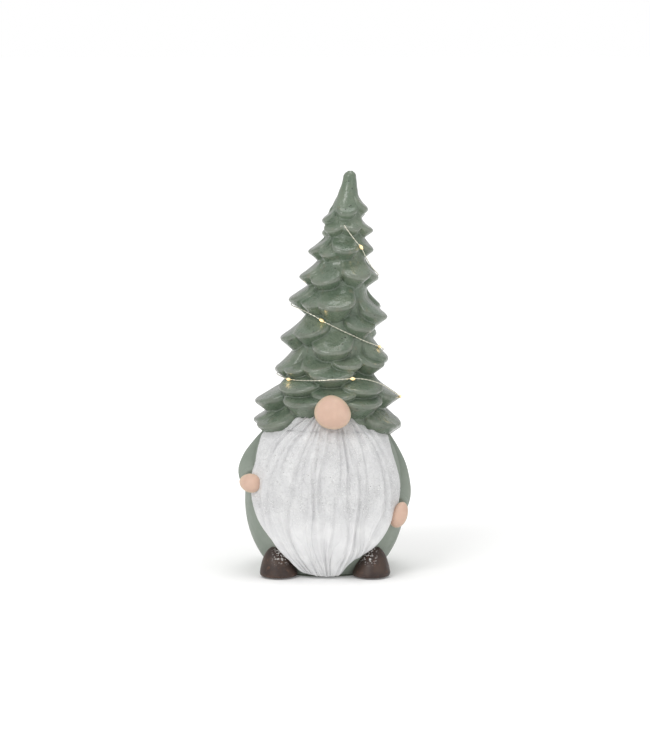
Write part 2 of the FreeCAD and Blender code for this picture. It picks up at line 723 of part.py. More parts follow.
def hole_plugs(path):
    """Soft plugs that hold the string in its two holes."""
    plugs = []
    for span in (TOP_PLUG_SPAN, from_lower_end(BACK_PLUG_SPAN, path)):
        plug = string_rod(path, span, HOLE_RADIUS - PLUG_GAP)
        bore_span = (span[0] - PLUG_OVERRUN, span[1] + PLUG_OVERRUN)
        plugs.append(main_solid(plug.cut(string_rod(path, bore_span, STRING_RADIUS + PLUG_GAP))))
    return plugs


def splice_sleeve():
    """Shrink tube over the joint between the two leads; the string ends on its upper face."""
    foot = SPLICE_CENTRE - UP * (SPLICE_LENGTH / 2)
    shrink = Part.makeCylinder(SPLICE_RADIUS, SPLICE_LENGTH, foot, UP)
    return main_solid(shrink.cut([lead(side, SPLICE_GAP) for side in (-1, 1)]))


# ---------------------------------------------------------------- the battery box
def tub_x(sign):
    return TUB_CENTRE_X + sign * TUB_CAVITY_X


def cell_y(row):
    return TUB_CENTRE_Y + row * CELL_PITCH / 2


def tub_block(half_y, x, z):
    """A block across the tub's middle line."""
    return box(x, (TUB_CENTRE_Y - half_y, TUB_CENTRE_Y + half_y), z)


def door_rod(radius, half_length):
    """A rod on the door's hinge line."""
    start = Vector(HINGE_X, TUB_CENTRE_Y - half_length, HINGE_Z)
    return Part.makeCylinder(radius, 2 * half_length, start, Vector(0, 1, 0))


def screw_post(z, radius):
    return post(SCREW_X, TUB_CENTRE_Y, z, radius)


def knob_slot(side_gap, top_z):
    """The opening that the knob slides along."""
    half_x = (KNOB_LENGTH + SWITCH_TRAVEL) / 2 + SLOT_END_GAP
    half_y = KNOB_WIDTH / 2 + side_gap
    return box((SWITCH_X - half_x, SWITCH_X + half_x), (SWITCH_Y - half_y, SWITCH_Y + half_y), (0, top_z))


def box_solid():
    """The battery box before anything is hollowed out of it."""
    flange = rounded_block(FLANGE_X, FLANGE_Y, (FLANGE_Z, BASE_Z), FLANGE_CORNER)
    rim = rounded_block(RIM_X, RIM_HALF_Y, (FLANGE_Z, RIM_TOP_Z), RIM_CORNER)
    rim.translate(Vector(0, TUB_CENTRE_Y, 0))
    tub_ends = (tub_x(-1) - TUB_WALL, tub_x(1) + TUB_WALL)
    tub = tub_block(TUB_CAVITY_Y + TUB_WALL, tub_ends, (FLANGE_Z, TUB_ROOF_Z + TUB_WALL))
    boss = screw_post((FLANGE_Z, BOSS_TOP_Z), BOSS_RADIUS)
    board_posts = [post(x, BOARD_MIDDLE_Y, (FLANGE_Z, BOARD_Z), POST_RADIUS) for x in POST_X]
    return flange.fuse([rim, tub, boss] + board_posts)


def battery_box():
    recess_half_y = DOOR_HALF_Y + DOOR_GAP
    recess_x = (BARREL_ROOM_X[0], DOOR_END_X + DOOR_GAP)
    cuts = [
        tub_block(recess_half_y, recess_x, (0, DOOR_Z + DOOR_THICKNESS + DOOR_HEADROOM)),
        tub_block(recess_half_y, BARREL_ROOM_X, (0, BARREL_ROOM_TOP_Z)),
        tub_block(TUB_CAVITY_Y, (tub_x(-1), tub_x(1)), (0, TUB_ROOF_Z)),
        door_rod(PIN_RADIUS + PIN_CLEARANCE, recess_half_y + PIN_LENGTH + PIN_END_GAP),
        screw_post((0, BOSS_MOUTH_TOP_Z), BOSS_MOUTH_RADIUS),
        screw_post((0, BOSS_HOLE_TOP_Z), BOSS_HOLE_RADIUS),
        knob_slot(BOX_SLOT_SIDE_GAP, BASE_Z + CUT_PAST),
    ]
    pilot_radius = BOARD_SCREW_RADIUS + PILOT_GAP
    cuts += [post(x, BOARD_MIDDLE_Y, (BOARD_Z - PILOT_DEPTH, BOARD_Z), pilot_radius) for x in POST_X]
    chase_x = (tub_x(1) - WIRE_SLOT_DEPTH, tub_x(1) + WIRE_SLOT_DEPTH)
    chase_z = (WIRE_SLOT_FOOT_Z, TUB_ROOF_Z + TUB_WALL + CUT_PAST)
    for row in (-1, 1):
        y = (cell_y(row) - WIRE_SLOT_WIDTH / 2, cell_y(row) + WIRE_SLOT_WIDTH / 2)
        cuts.append(box(chase_x, y, chase_z))
    return main_solid(box_solid().cut(cuts))


def box_sealant():
    """A bead of silicone between the flange and the wall of the opening."""
    z = (BASE_Z, BASE_Z + SEALANT_HEIGHT)
    outer = rounded_block(OPENING_X, OPENING_Y, z, OPENING_CORNER)
    inner_x, inner_y = OPENING_X - SEALANT_WIDTH, OPENING_Y - SEALANT_WIDTH
    return outer.cut(rounded_block(inner_x, inner_y, z, OPENING_CORNER - SEALANT_WIDTH))


def battery(row, sign):
    """One AAA cell; sign is the way its positive nub points along X."""
    contact = Vector(tub_x(sign) - sign * (PLATE_THICKNESS + CONTACT_GAP), cell_y(row), CELL_Z)
    along = Vector(-sign, 0, 0)
    nub = Part.makeCylinder(NUB_RADIUS, NUB_LENGTH + NUB_ROOT, contact, along)
    can = Part.makeCylinder(CELL_RADIUS, CELL_LENGTH, contact + along * NUB_LENGTH, along)
    return can.makeFillet(CELL_ROUND, round_edges(can)).fuse(nub).removeSplitter()


def contact_plates():
    """One bridge at one end and two terminals at the other, each a thin plate against the tub's end wall."""
    z = (PLATE_FOOT_Z, PLATE_TOP_Z)
    bridge_x = (tub_x(-1) + PLATE_SEAT_GAP, tub_x(-1) + PLATE_THICKNESS)
    terminal_x = (tub_x(1) - PLATE_THICKNESS, tub_x(1) - PLATE_SEAT_GAP)
    plates = [tub_block(TUB_CAVITY_Y - BRIDGE_MARGIN, bridge_x, z)]
    for row in (-1, 1):
        plates.append(box(terminal_x, (cell_y(row) - PLATE_WIDTH / 2, cell_y(row) + PLATE_WIDTH / 2), z))
    return plates


def contact_spring(row, sign):
    """A squeezed coil between a contact plate and the flat end of a cell."""
    start_x = tub_x(sign) - sign * (PLATE_THICKNESS + CONTACT_GAP + SPRING_WIRE)
    cell_end_x = tub_x(-sign) + sign * (PLATE_THICKNESS + CONTACT_GAP + NUB_LENGTH + CELL_LENGTH)
    length = abs(start_x - cell_end_x) - SPRING_WIRE - CONTACT_GAP
    steps = round(length / SPRING_PITCH * SPRING_STEPS_PER_TURN)
    points = []
    for k in range(steps + 1):
        turn = 2 * math.pi * k / SPRING_STEPS_PER_TURN
        y = cell_y(row) + SPRING_RADIUS * math.cos(turn)
        z = CELL_Z + SPRING_RADIUS * math.sin(turn)
        points.append(Vector(start_x - sign * length * k / steps, y, z))
    return tube(points, SPRING_WIRE)


def battery_door():
    top_z = DOOR_Z + DOOR_THICKNESS
    plate = tub_block(DOOR_HALF_Y, (HINGE_X, DOOR_END_X), (DOOR_Z, top_z))
    barrel = door_rod(BARREL_RADIUS, DOOR_HALF_Y)
    pins = door_rod(PIN_RADIUS, DOOR_HALF_Y + DOOR_GAP + PIN_LENGTH)
    cuts = [
        screw_post((0, DOOR_Z + SCREW_HEAD_HEIGHT + DOOR_HEADROOM), SCREW_HEAD_RADIUS + SCREW_HEAD_GAP),
        screw_post((0, top_z + CUT_PAST), SCREW_SHANK_RADIUS + SCREW_SHANK_GAP),
    ]
    cuts += [tub_block(GRIP_HALF_LENGTH, (x, x + GRIP_WIDTH), (0, DOOR_Z + GRIP_DEPTH)) for x in GRIP_X]
    return main_solid(plate.fuse([barrel, pins]).cut(cuts))


def door_screw():
    foot_z = DOOR_Z + SCREW_HEAD_SEAT
    taper_z = SCREW_TIP_Z - SCREW_TIP_LENGTH
    head = screw_post((foot_z, foot_z + SCREW_HEAD_HEIGHT), SCREW_HEAD_RADIUS)
    shank = screw_post((foot_z, taper_z), SCREW_SHANK_RADIUS)
    taper_foot = Vector(SCREW_X, TUB_CENTRE_Y, taper_z)
    tip = Part.makeCone(SCREW_SHANK_RADIUS, SCREW_TIP_RADIUS, SCREW_TIP_LENGTH, taper_foot, UP)
    depth = (0, foot_z + CROSS_DEPTH)
    cross = [
        tub_block(CROSS_HALF_WIDTH, (SCREW_X - CROSS_HALF_LENGTH, SCREW_X + CROSS_HALF_LENGTH), depth),
        tub_block(CROSS_HALF_LENGTH, (SCREW_X - CROSS_HALF_WIDTH, SCREW_X + CROSS_HALF_WIDTH), depth),
    ]
    return main_solid(head.fuse([shank, tip]).cut(cross))


def screw_retainer():
    z = (RETAINER_Z, RETAINER_Z + RETAINER_THICKNESS)
    return screw_post(z, RETAINER_RADIUS).cut(screw_post(z, SCREW_SHANK_RADIUS + RETAINER_GAP))


# ---------------------------------------------------------------- switch, board and leads
def switch_block(length, width, z, x=SWITCH_X):
    return box((x - length / 2, x + length / 2), (SWITCH_Y - width / 2, SWITCH_Y + width / 2), z)


def switch_housing():
    case = switch_block(SWITCH_LENGTH, SWITCH_WIDTH, (BASE_Z + SWITCH_SEAT_GAP, BOARD_Z - SWITCH_SEAT_GAP))
    room_z = (BASE_Z + SWITCH_FLOOR, BOARD_Z - SWITCH_ROOF)
    room = switch_block(SWITCH_LENGTH - 2 * SWITCH_WALL, SWITCH_WIDTH - 2 * SWITCH_WALL, room_z)
    return case.cut([room, knob_slot(SWITCH_SLOT_SIDE_GAP, BASE_Z + CUT_PAST)])


def switch_knob():
    """The slider, drawn in its "on" place at the figure's right end of the slot."""
    x = SWITCH_X - SWITCH_TRAVEL / 2
    stem = switch_block(KNOB_LENGTH, KNOB_WIDTH, KNOB_Z, x)
    shoe = switch_block(SHOE_LENGTH, SHOE_WIDTH, SHOE_Z, x)
    ridges = [switch_block(RIDGE_WIDTH, SHOE_WIDTH, (0, RIDGE_TOP_Z), x + dx) for dx in RIDGE_X]
    return main_solid(stem.fuse(shoe).cut(ridges))


def timer_board():
    top_z = BOARD_Z + BOARD_THICKNESS
    board = box(BOARD_X, BOARD_Y, (BOARD_Z, top_z))
    hole_radius = BOARD_SCREW_RADIUS + BOARD_HOLE_GAP
    return board.cut([post(x, BOARD_MIDDLE_Y, (0, top_z + CUT_PAST), hole_radius) for x in POST_X])


def board_components():
    """A timer chip, its crystal and two resistors."""
    top = BOARD_Z + BOARD_THICKNESS + SOLDER_GAP
    chip_y = (BOARD_MIDDLE_Y - TIMER_CHIP_WIDTH / 2, BOARD_MIDDLE_Y + TIMER_CHIP_WIDTH / 2)
    chip = box(TIMER_CHIP_X, chip_y, (top, top + TIMER_CHIP_HEIGHT))
    crystal_end = Vector(CRYSTAL_X, BOARD_MIDDLE_Y, top + CRYSTAL_RADIUS)
    crystal = Part.makeCylinder(CRYSTAL_RADIUS, CRYSTAL_LENGTH, crystal_end, Vector(1, 0, 0))
    length, width, height = RESISTOR_SIZE
    resistor_y = (BOARD_MIDDLE_Y - width / 2, BOARD_MIDDLE_Y + width / 2)
    resistors = [box((x, x + length), resistor_y, (top, top + height)) for x in RESISTOR_X]
    return [chip, crystal] + resistors


def board_screws():
    seat = BOARD_Z + BOARD_THICKNESS + SOLDER_GAP
    head_top = seat + BOARD_SCREW_HEAD_HEIGHT
    screws = []
    for x in POST_X:
        head = post(x, BOARD_MIDDLE_Y, (seat, head_top), BOARD_SCREW_HEAD_RADIUS)
        shank = post(x, BOARD_MIDDLE_Y, (seat - BOARD_SCREW_LENGTH, seat), BOARD_SCREW_RADIUS)
        recess_z = (seat + BOARD_SCREW_HEAD_HEIGHT / 2, head_top + CUT_PAST)
        recess = post(x, BOARD_MIDDLE_Y, recess_z, BOARD_SCREW_RECESS_RADIUS)
        screws.append(head.fuse(shank).cut(recess))
    return screws


def lead(side, gap=0.0):
    """One insulated lead from the board up into the splice, grown by gap."""
    splice_foot_z = SPLICE_CENTRE.z - SPLICE_LENGTH / 2
    x_end = SPLICE_CENTRE.x + side * LEAD_SPREAD
    foot_z = BOARD_Z + BOARD_THICKNESS + LEAD_FOOT_GAP
    points = [Vector(LEAD_FOOT_X + side * LEAD_FOOT_SPREAD, BOARD_MIDDLE_Y, foot_z)]
    points += [Vector(x + side * apart, y, z) for x, apart, y, z in LEAD_BENDS]
    straight_z = (splice_foot_z - LEAD_STRAIGHT, splice_foot_z, splice_foot_z + LEAD_INSERTION)
    points += [Vector(x_end, SPLICE_CENTRE.y, z) for z in straight_z]
    points = Part.makePolygon(points).discretize(Distance=LEAD_POINT_SPACING)
    return tube(soften(points, LEAD_SOFTENING), LEAD_RADIUS + gap)


def felt_ring():
    """One sheet of felt on the foot of the body, cut out round the flange of the battery box."""
    sheet = post(0, 0, (0, FELT_THICKNESS), FELT_RADIUS)
    corner = FLANGE_CORNER + FELT_GAP
    window = rounded_block(FLANGE_X + FELT_GAP, FLANGE_Y + FELT_GAP, (0, FELT_THICKNESS), corner)
    return sheet.cut(window)


# ---------------------------------------------------------------- export
def save(name, shapes):
    shapes = shapes if isinstance(shapes, list) else [shapes]
    solids = [s for shape in shapes for s in shape.Solids]
    result = solids[0] if len(solids) == 1 else Part.makeCompound(solids)
    if not solids or not result.isValid():
        raise RuntimeError(name + " is not a valid solid")
    result.exportStep("parts/" + name + ".step")


def main():
    os.makedirs("parts", exist_ok=True)
    blank = beard_blank()
    string = string_path()

    save("hat_shell", hat_shell(string))
    save("body_shell", body_shell())
    save("beard", beard(blank, [right_hand(BOND), left_hand(BOND)]))
    save("nose", nose())
    save("right_sleeve", sleeve(RIGHT_SLEEVE, blank, right_hand(BOND)))
    save("left_sleeve", sleeve(LEFT_SLEEVE, blank, left_hand(BOND)))
    save("right_hand", right_hand())
    save("left_hand", left_hand())
    save("right_boot", boot(-1, blank))
    save("left_boot", boot(1, blank))

    save("light_wire", light_wire(string))
    save("led_chips", led_chips(string))
    save("led_beads", led_beads(string))
    save("hole_plugs", hole_plugs(string))
    save("splice_sleeve", splice_sleeve())
    save("lead_red", lead(1))
    save("lead_black", lead(-1))

    save("battery_box", battery_box())
    save("box_sealant", box_sealant())
    save("battery_front", battery(-1, -1))
    save("battery_back", battery(1, 1))
    save("contact_plates", contact_plates())
    save("contact_springs", [contact_spring(-1, 1), contact_spring(1, -1)])
    save("battery_door", battery_door())
    save("door_screw", door_screw())
    save("screw_retainer", screw_retainer())
    save("switch_housing", switch_housing())
    save("switch_knob", switch_knob())
    save("timer_board", timer_board())
    save("board_components", board_components())
    save("board_screws", board_screws())
    save("felt_ring", felt_ring())


main()
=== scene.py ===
import math

import bpy
import numpy as np
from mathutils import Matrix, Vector, noise


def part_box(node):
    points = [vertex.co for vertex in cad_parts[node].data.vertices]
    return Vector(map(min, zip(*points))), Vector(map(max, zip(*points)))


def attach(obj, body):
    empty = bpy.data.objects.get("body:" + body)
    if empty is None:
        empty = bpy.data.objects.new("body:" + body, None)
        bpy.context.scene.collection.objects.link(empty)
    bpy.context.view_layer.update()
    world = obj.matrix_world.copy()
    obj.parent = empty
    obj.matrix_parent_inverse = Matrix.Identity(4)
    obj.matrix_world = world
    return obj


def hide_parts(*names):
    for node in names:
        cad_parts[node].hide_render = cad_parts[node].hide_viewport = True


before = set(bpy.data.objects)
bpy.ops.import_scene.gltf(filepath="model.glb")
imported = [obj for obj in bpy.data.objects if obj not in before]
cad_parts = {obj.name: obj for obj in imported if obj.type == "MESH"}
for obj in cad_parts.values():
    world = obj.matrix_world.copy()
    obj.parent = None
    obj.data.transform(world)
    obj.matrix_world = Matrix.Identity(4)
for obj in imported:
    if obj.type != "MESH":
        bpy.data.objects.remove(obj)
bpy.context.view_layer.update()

# The looks of a glazed gnome under a fir-tree hat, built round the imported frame.
# Sizes below are in millimetres in the row's frame; meshes are made in metres.
MM = 0.001
FIGURE = "figure"

# ---------------------------------------------------------------- sizes read from the frame
def corners(node):
    return [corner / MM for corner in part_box(node)]


BODY_LOW, BODY_HIGH = corners("body_shell")
NOSE_LOW, NOSE_HIGH = corners("nose")
HEIGHT = corners("hat_shell")[1].z
SOLE_Z = BODY_LOW.z
BODY_RADIUS = (BODY_HIGH.x - BODY_LOW.x) / 2
BODY_TOP_Z = BODY_HIGH.z
STRAND_ALLOWANCE = 0.6     # the strands rise this much above the beard's own egg
BEARD_RADIUS = -corners("beard")[0].y - STRAND_ALLOWANCE

# ---------------------------------------------------------------- design values
# Body and beard are eggs: one radius, and a half-height below and above the waist.
WAIST_Z = 52.0
BODY_BELOW, BODY_ABOVE = 69.0, 79.4
BEARD_BELOW, BEARD_ABOVE = 78.2, 87.8
WALL = 4.5
FLOOR_THICKNESS = 4.0
INSIDE_FOOT, INSIDE_HEAD = 4, 1                # the inside's rings start above the floor, end below the top
FOOT_ROUND_HEIGHT, FOOT_ROUND_DEPTH = 1.6, 2.2
OPENING_HALF_X, OPENING_HALF_Y, OPENING_SQUARENESS = 33.0, 19.0, 9.0
BODY_SWELL = (0.002, 30.0, 3)                 # (share of the radius, lump size, seed)
BODY_ROWS = {"outside": 130, "round": 5, "foot": 6, "inside": 24}

LEAN_FOOT_Z, LEAN_FOOT_X, LEAN_PER_MM = 110.0, 1.5, 0.0915
# Trunk of the hat between branches, (height, radius), up to the shoulder of the tip.
TRUNK = [(96, 40), (110, 44), (121, 41.5), (143, 32), (168, 28.5), (191, 24), (212, 20.5), (234, 17),
         (250, 14), (260, 12.6), (268, 11.2), (277, 9.7), (282, 7.9), (286.5, 6.7), (291, 5.8), (295, 5.0)]
# Branch tiers from the brim up: half-angle of a branch, height of its upper face, and the branches
# as (degrees from the front, height of the tip, reach of the tip).
TIERS = [
    (29, 17, [(-92, 113, 55.5), (-64, 111, 56), (-25, 129, 54), (4, 134, 52), (34, 128, 54),
              (68, 111, 57.5), (96, 108, 56.5), (128, 106, 56), (160, 104, 56), (-166, 103, 56),
              (-128, 107, 56)]),
    (31, 20, [(-82, 128, 56), (-38, 139, 50.5), (-1, 148, 47), (38, 138, 50.5), (82, 130.5, 52.5),
              (122, 129, 53), (163, 129, 53), (-158, 129, 53), (-120, 128, 54)]),
    (24, 13, [(-50, 152, 42.5), (-21, 154, 41.5), (19, 156, 41.5), (56, 156, 43.5)]),
    (31, 24, [(-82, 151.5, 43), (-3, 167, 41), (80, 159, 42), (124, 155, 42.5), (170, 156, 42.5),
              (-136, 154, 42.5)]),
    (32, 19, [(-80, 175, 41.5), (-42, 179, 38.5), (44, 183, 35), (98, 177, 31), (140, 174, 39.5),
              (-174, 175, 40), (-124, 175, 40)]),
    (35, 20, [(-84, 204, 37.5), (-44, 201, 33), (-4, 200, 38), (76, 191, 38.5), (128, 196, 37),
              (174, 198, 37.5), (-134, 200, 37)]),
    (37, 17, [(-80, 221, 31), (-32, 218, 30), (34, 222, 29.5), (84, 220, 28.5), (132, 221, 30),
              (180, 221, 30), (-130, 221, 30)]),
    (40, 14, [(-82, 240, 26), (-36, 238, 22), (6, 241, 24.5), (80, 241, 23), (130, 240, 24), (178, 239, 25),
              (-130, 240, 25)]),
    (44, 11, [(-40, 256, 19), (20, 257, 18.5), (86, 255.6, 21), (145, 254, 20), (-160, 254, 20),
              (-105, 253, 17)]),
    (47, 12, [(-86, 263, 18), (0, 268, 15.5), (84, 271, 16), (140, 266, 16.5), (-145, 266, 16.5)]),
]
BLEND = 2.0                # fillet where glaze has pooled between branches
LIP_BLEND = 6.0            # roundness of a branch's lip
DROOP = 5.0                # a lip climbs this much towards its ends
UNDERSIDE = 1.3            # a branch falls back this much below its lip for each millimetre down
FLARE = 1.75               # above 1, a branch is hollow above and flares to its lip
PLAN_SQUARENESS, PLAN_ROUNDNESS = 2.2, 0.62
BRANCH_OVERLAP = 1.02      # a branch is drawn a little past its own half-angle
BRIM_GAP = 0.3
BRIM_SEARCH_Z = (126, 94)
BRIM_SEARCH_STEPS = 161
TIP_GAP = 0.05             # the skin starts this far under the very tip
HAT_SWELLS = [(0.45, 9.0, 1), (0.22, 4.0, 2)]  # hand-made unevenness: (height, lump size, seed)
SWELL_FADE_TIP, SWELL_FADE_BRIM = 8, 3
HAT_RELIEF_ROUNDS = 50
LINING_GAP, LINING_RINGS = 0.2, 10
CORE = [(150, 21), (200, 12), (262, 4)]        # rings that close the hat's inside, (height, radius)
CORE_LEAN_Z, CORE_LEAN_OVER = 112, 20          # the inside starts to follow the lean here, over this height

# Light string: (turns from the front, height), top hole to back hole.
STRING_ROUTE = [(-0.02, 262), (0.25, 224), (0.914, 192), (1.15, 173), (1.86, 146.5), (2.12, 146),
                (2.28, 126), (2.55, 131)]
STRING_POINTS = 620
STRING_FEEL_ANGLE, STRING_FEEL_HEIGHT = 0.02, 0.6  # radians, and millimetres
STRING_STAND_OFF = 0.75
STRING_END_DEPTH, STRING_END_POINTS = 5, 6     # both ends dive this deep over this many points
STRING_TIGHTENING, STRING_SOFTENING = 6000, 6
STRAND_RADIUS, STRAND_PITCH = 0.24, 7.0
BEAD_SPACING = 56.0
BEAD_ANCHOR_TURNS = 1.862  # one bead sits here, and the others are counted from it
BEAD_REACH = range(-12, 6)
BEAD_END_ROOM = (4, 8)     # bare string at its upper and lower end
BEAD_RADIUS, BEAD_HALF_LENGTH, BEAD_DRAWN_OUT, BEAD_OUTSET = 1.25, 1.9, 0.35, 0.4
GLOW_OUTSET, GLOW_WATTS, GLOW_RADIUS_M, GLOW_COLOUR = 3.2, 0.00032, 0.0015, (1.0, 0.70, 0.30)

# Beard outline, (height, x) up each side, and the fan of its strands.
BEARD_RIGHT_EDGE = [(1.2, -20), (6, -24), (13, -28), (22, -36.5), (45, -53), (70, -57.4), (93, -53),
                    (126, -42)]
BEARD_LEFT_EDGE = [(1.2, 13), (6, 16), (11, 20), (22, 36.5), (45, 54), (66, 58.8), (93, 52.5), (126, 44)]
BEARD_TOP_Z = 126.0
BEARD_SHOULDER_ANGLE = 0.75  # radians from the front
BEARD_SHOULDER_DROP = 22.0   # how much sooner the beard's shoulders tuck in than its middle does
BEARD_TUCK = 0.5
BEARD_TIP_X, BEARD_TIP_BOW, BEARD_TIP_ROUND = 2.0, 0.009, 3.0
BEARD_TIP_BOW_LIMIT, BEARD_TIP_BOW_Z = 5, 16
BEARD_EDGE_SQUARENESS, BEARD_EDGE_CROWDING, BEARD_TIP_THIN = 7, 0.9, 0.55
BEARD_OUTLINE_SHARE = 0.7  # the outline is measured this far from the body's egg to the beard's
BEARD_BED, BEARD_BACK_GAP = 0.2, 0.1
BEARD_RELIEF_ROUNDS, BEARD_EDGE_COLUMNS = 60, 6
FAN_WIDTH, FAN_MIDDLE_Z, FAN_HALF_HEIGHT = 57.0, 60.0, 70.0
FAN_CENTRE = [(0, 2), (30, 0), (66, 0.5), (124, 5)]
FAN_LEAST, FAN_POWER, FAN_SPREAD_OUTSIDE = 0.02, 0.8, 0.5
STRANDS = 13
# Waves that make hand-modelled strands uneven, each as (size in strands, per strand, millimetres up).
STRAND_SHIFTS = [(0.22, 1.7, 31.0), (0.16, 3.1, -19.0)]
STRAND_WANDER, STRAND_WANDER_UP, STRAND_WANDER_ACROSS = 0.13, 9.0, 8.0
STRAND_MEAN, STRAND_SWING = 0.72, 0.28        # shares of the full height
STRAND_SWING_WAVE = (2.3, 1.2, 37.0)          # (per strand, start, millimetres up)
STRAND_HEIGHT, STRAND_DATUM = 2.9, 2.2
STRAND_SHARPNESS = 0.15    # 0 is a smooth wave, 1 a row of half-rounds with creases
FINE_STRANDS, FINE_HEIGHT = 2.3, [(10, 0.8), (60, 0.45)]   # per strand, and (height on the figure, relief)
FINE_START, FINE_WANDER, FINE_WANDER_UP = 0.3, 0.5, 12.0
GRIT_FOOT_Z, GRIT_FADE, GRIT_LEAST = 34, 26, 0.06
GRIT = [(0.34, 1.7, 4), (0.26, 0.9, 5)]        # (height, grain size, seed)
BEARD_SWELL = (0.35, 14, 6)

NOSE_WIDTH_SHARE = 0.95    # of the node's width
NOSE_NARROWER_ABOVE, NOSE_NARROWER_ENDS, NOSE_TILT = 0.10, 0.05, 0.06
NOSE_SWELL = (0.012, 9.0, 7)                  # (share of the size, lump size, seed)

# Hands: shift of the centre from the node's box, aim, half-length, radius, and where the thumb lies.
RIGHT_HAND = {"shift": (1.6, 0, 0), "aim": (0.8, -0.6, -0.1), "half_length": 9.2, "radius": 7.0,
              "thumb": (0.6, 0.5, 0.6)}
LEFT_HAND = {"shift": (-2.2, 0.5, 0), "aim": (-0.36, -0.12, -0.92), "half_length": 10.0, "radius": 6.2,
             "thumb": (-0.6, 0.6, 0.5)}
HAND_WIDER_AT_FINGERS = 0.08
THUMB_RISE, THUMB_SPREAD = 0.06, 0.16
CREASE_DEPTH, CREASE_SPREAD, CREASE_BEYOND_THUMB = 0.04, 0.05, 1.25
HAND_SWELL = (0.02, 6.0, 8)                   # (share of the size, lump size, seed)
# Sleeves: (degrees from the front, height, how far the cloth stands off the body, tube radius).
RIGHT_SLEEVE = [(-104, 108, -2, 8), (-98, 96, 1, 8.8), (-89, 84, 6, 9.8), (-80, 75, 8.2, 10.4),
                (-69, 70, 7.4, 9.4)]
LEFT_SLEEVE = [(104, 108, -2, 8), (98, 92, 1.6, 8.8), (89, 73, 4.4, 9.4), (78, 58, 5.4, 9.6), (66, 51, 6, 9)]
CUFF_CREASE, CUFF_CREASE_AT, CUFF_CREASE_WIDTH = 0.05, 0.35, 0.05
CUFF_ROUND, SHOULDER_ROUND = 0.10, 0.5         # in stations of the sleeve
CUFF_LEAST, SHOULDER_LEAST = 0.86, 0.05        # shares of the radius at the sleeve's two ends
SLEEVE_ROWS, SLEEVE_COLS = 90, 72
SLEEVE_SWELL, SLEEVE_SWELL_SIZE, SLEEVE_SWELL_RADIUS = 0.35, 12.0, 9

# Boots, as shares of a boot's height and width unless in millimetres.
WELT_SHARE, WELT_HEIGHT, SOLE_SHARE = 0.12, 2.2, 0.90
BOOT_TAPER, BOOT_SQUARENESS, TOE_SWELL = 0.36, 3.4, 0.05
BOOT_SPLAY, BOOT_SPLAY_FROM, BOOT_RAKE = 3.4, 0.3, 2.0
BOOT_SWELL, BOOT_SWELL_SIZE, BOOT_SEED = 0.175, 8.0, 9

# Studio: world strength for lighting and as seen by the camera, and area lights in metres and watts as
# (name, place, size, power).
WORLD_LIGHT, WORLD_SEEN = 0.74, 1.0
LIGHTS = [("key", (-0.75, -1.15, 1.25), 0.8, 9.0), ("fill", (1.1, -1.2, 0.6), 1.0, 2.0),
          ("top", (0.1, 0.1, 1.5), 0.8, 4.5)]
LIGHTS_AIM = (0, 0, 0.14)
FLOOR_SIZE = 60.0
FLOOR_GLOW_FROM, FLOOR_GLOW_TO = 0.10, 0.60    # metres from the figure
FLOOR_GLOW_NEAR, FLOOR_GLOW_FAR = 0.10, 0.45
# Camera, in heights of the figure and degrees.
CAMERA_AIM, CAMERA_DISTANCE, CAMERA_TILT = 0.488, 7.3, 7
VIEW_HEIGHT = 1.882        # what the view's longer side spans at the figure


# ---------------------------------------------------------------- numeric helpers
def spline(at, knots):
    """Smooth curve through (place, value) knots."""
    xs, ys = np.array(knots, float).T
    slope = np.gradient(ys, xs)
    i = np.clip(np.searchsorted(xs, at) - 1, 0, len(xs) - 2)
    width = xs[i + 1] - xs[i]
    t = np.clip((at - xs[i]) / width, 0, 1)
    h00, h10 = 2 * t ** 3 - 3 * t ** 2 + 1, t ** 3 - 2 * t ** 2 + t
    h01, h11 = 3 * t ** 2 - 2 * t ** 3, t ** 3 - t ** 2
    return h00 * ys[i] + h10 * width * slope[i] + h01 * ys[i + 1] + h11 * width * slope[i + 1]


def smooth_max(a, b, k):
    h = np.clip(k - np.abs(a - b), 0, None) / k
    return np.maximum(a, b) + h * h * k / 4


def smooth_min(a, b, k):
    return -smooth_max(-a, -b, k)


def lumps(points, size, seed):
    """Smooth noise of about -1 to 1 at each point, with lumps of the given size."""
    shift = Vector((seed * 17.3, seed * 5.9, seed * 11.1))
    flat = points.reshape(-1, 3) / size
    values = np.fromiter((noise.noise(Vector(p) + shift) for p in flat), float, len(flat))
    return values.reshape(points.shape[:-1])


def egg_radius(z, radius=BODY_RADIUS, below=BODY_BELOW, above=BODY_ABOVE):
    share = np.where(z < WAIST_Z, (z - WAIST_Z) / below, (z - WAIST_Z) / above)
    return radius * np.sqrt(np.clip(1 - share * share, 0, None))


# ---------------------------------------------------------------- mesh helpers
def relief_of(height, rounds):
    """How far each point of a grid stands above the grid's own soft average, in millimetres."""
    soft = height.copy()
    for _ in range(rounds):
        across = (np.roll(soft, 1, axis=1) + np.roll(soft, -1, axis=1)) / 2
        soft[1:-1] = (across[1:-1] + (soft[:-2] + soft[2:]) / 2) / 2
    return height - soft


def add_piece(name, verts, faces, material, replaces, relief=None):
    mesh = bpy.data.meshes.new(name)
    mesh.from_pydata((np.asarray(verts) * MM).tolist(), [], faces)
    if relief is not None:
        values = np.zeros(len(verts))
        values[:relief.size] = relief.ravel()
        mesh.attributes.new("relief", "FLOAT", "POINT").data.foreach_set("value", values)
    mesh.materials.append(material)
    mesh.shade_smooth()
    piece = bpy.data.objects.new(name, mesh)
    bpy.context.scene.collection.objects.link(piece)
    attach(piece, FIGURE)
    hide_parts(*replaces)


def ring_faces(rows, cols):
    """Quads of a grid whose columns close on themselves."""
    k = np.arange(cols)
    nxt = (k + 1) % cols
    faces = []
    for row in range(rows - 1):
        a, b = row * cols, (row + 1) * cols
        faces.append(np.stack([a + k, a + nxt, b + nxt, b + k], axis=1))
    return np.concatenate(faces).tolist()


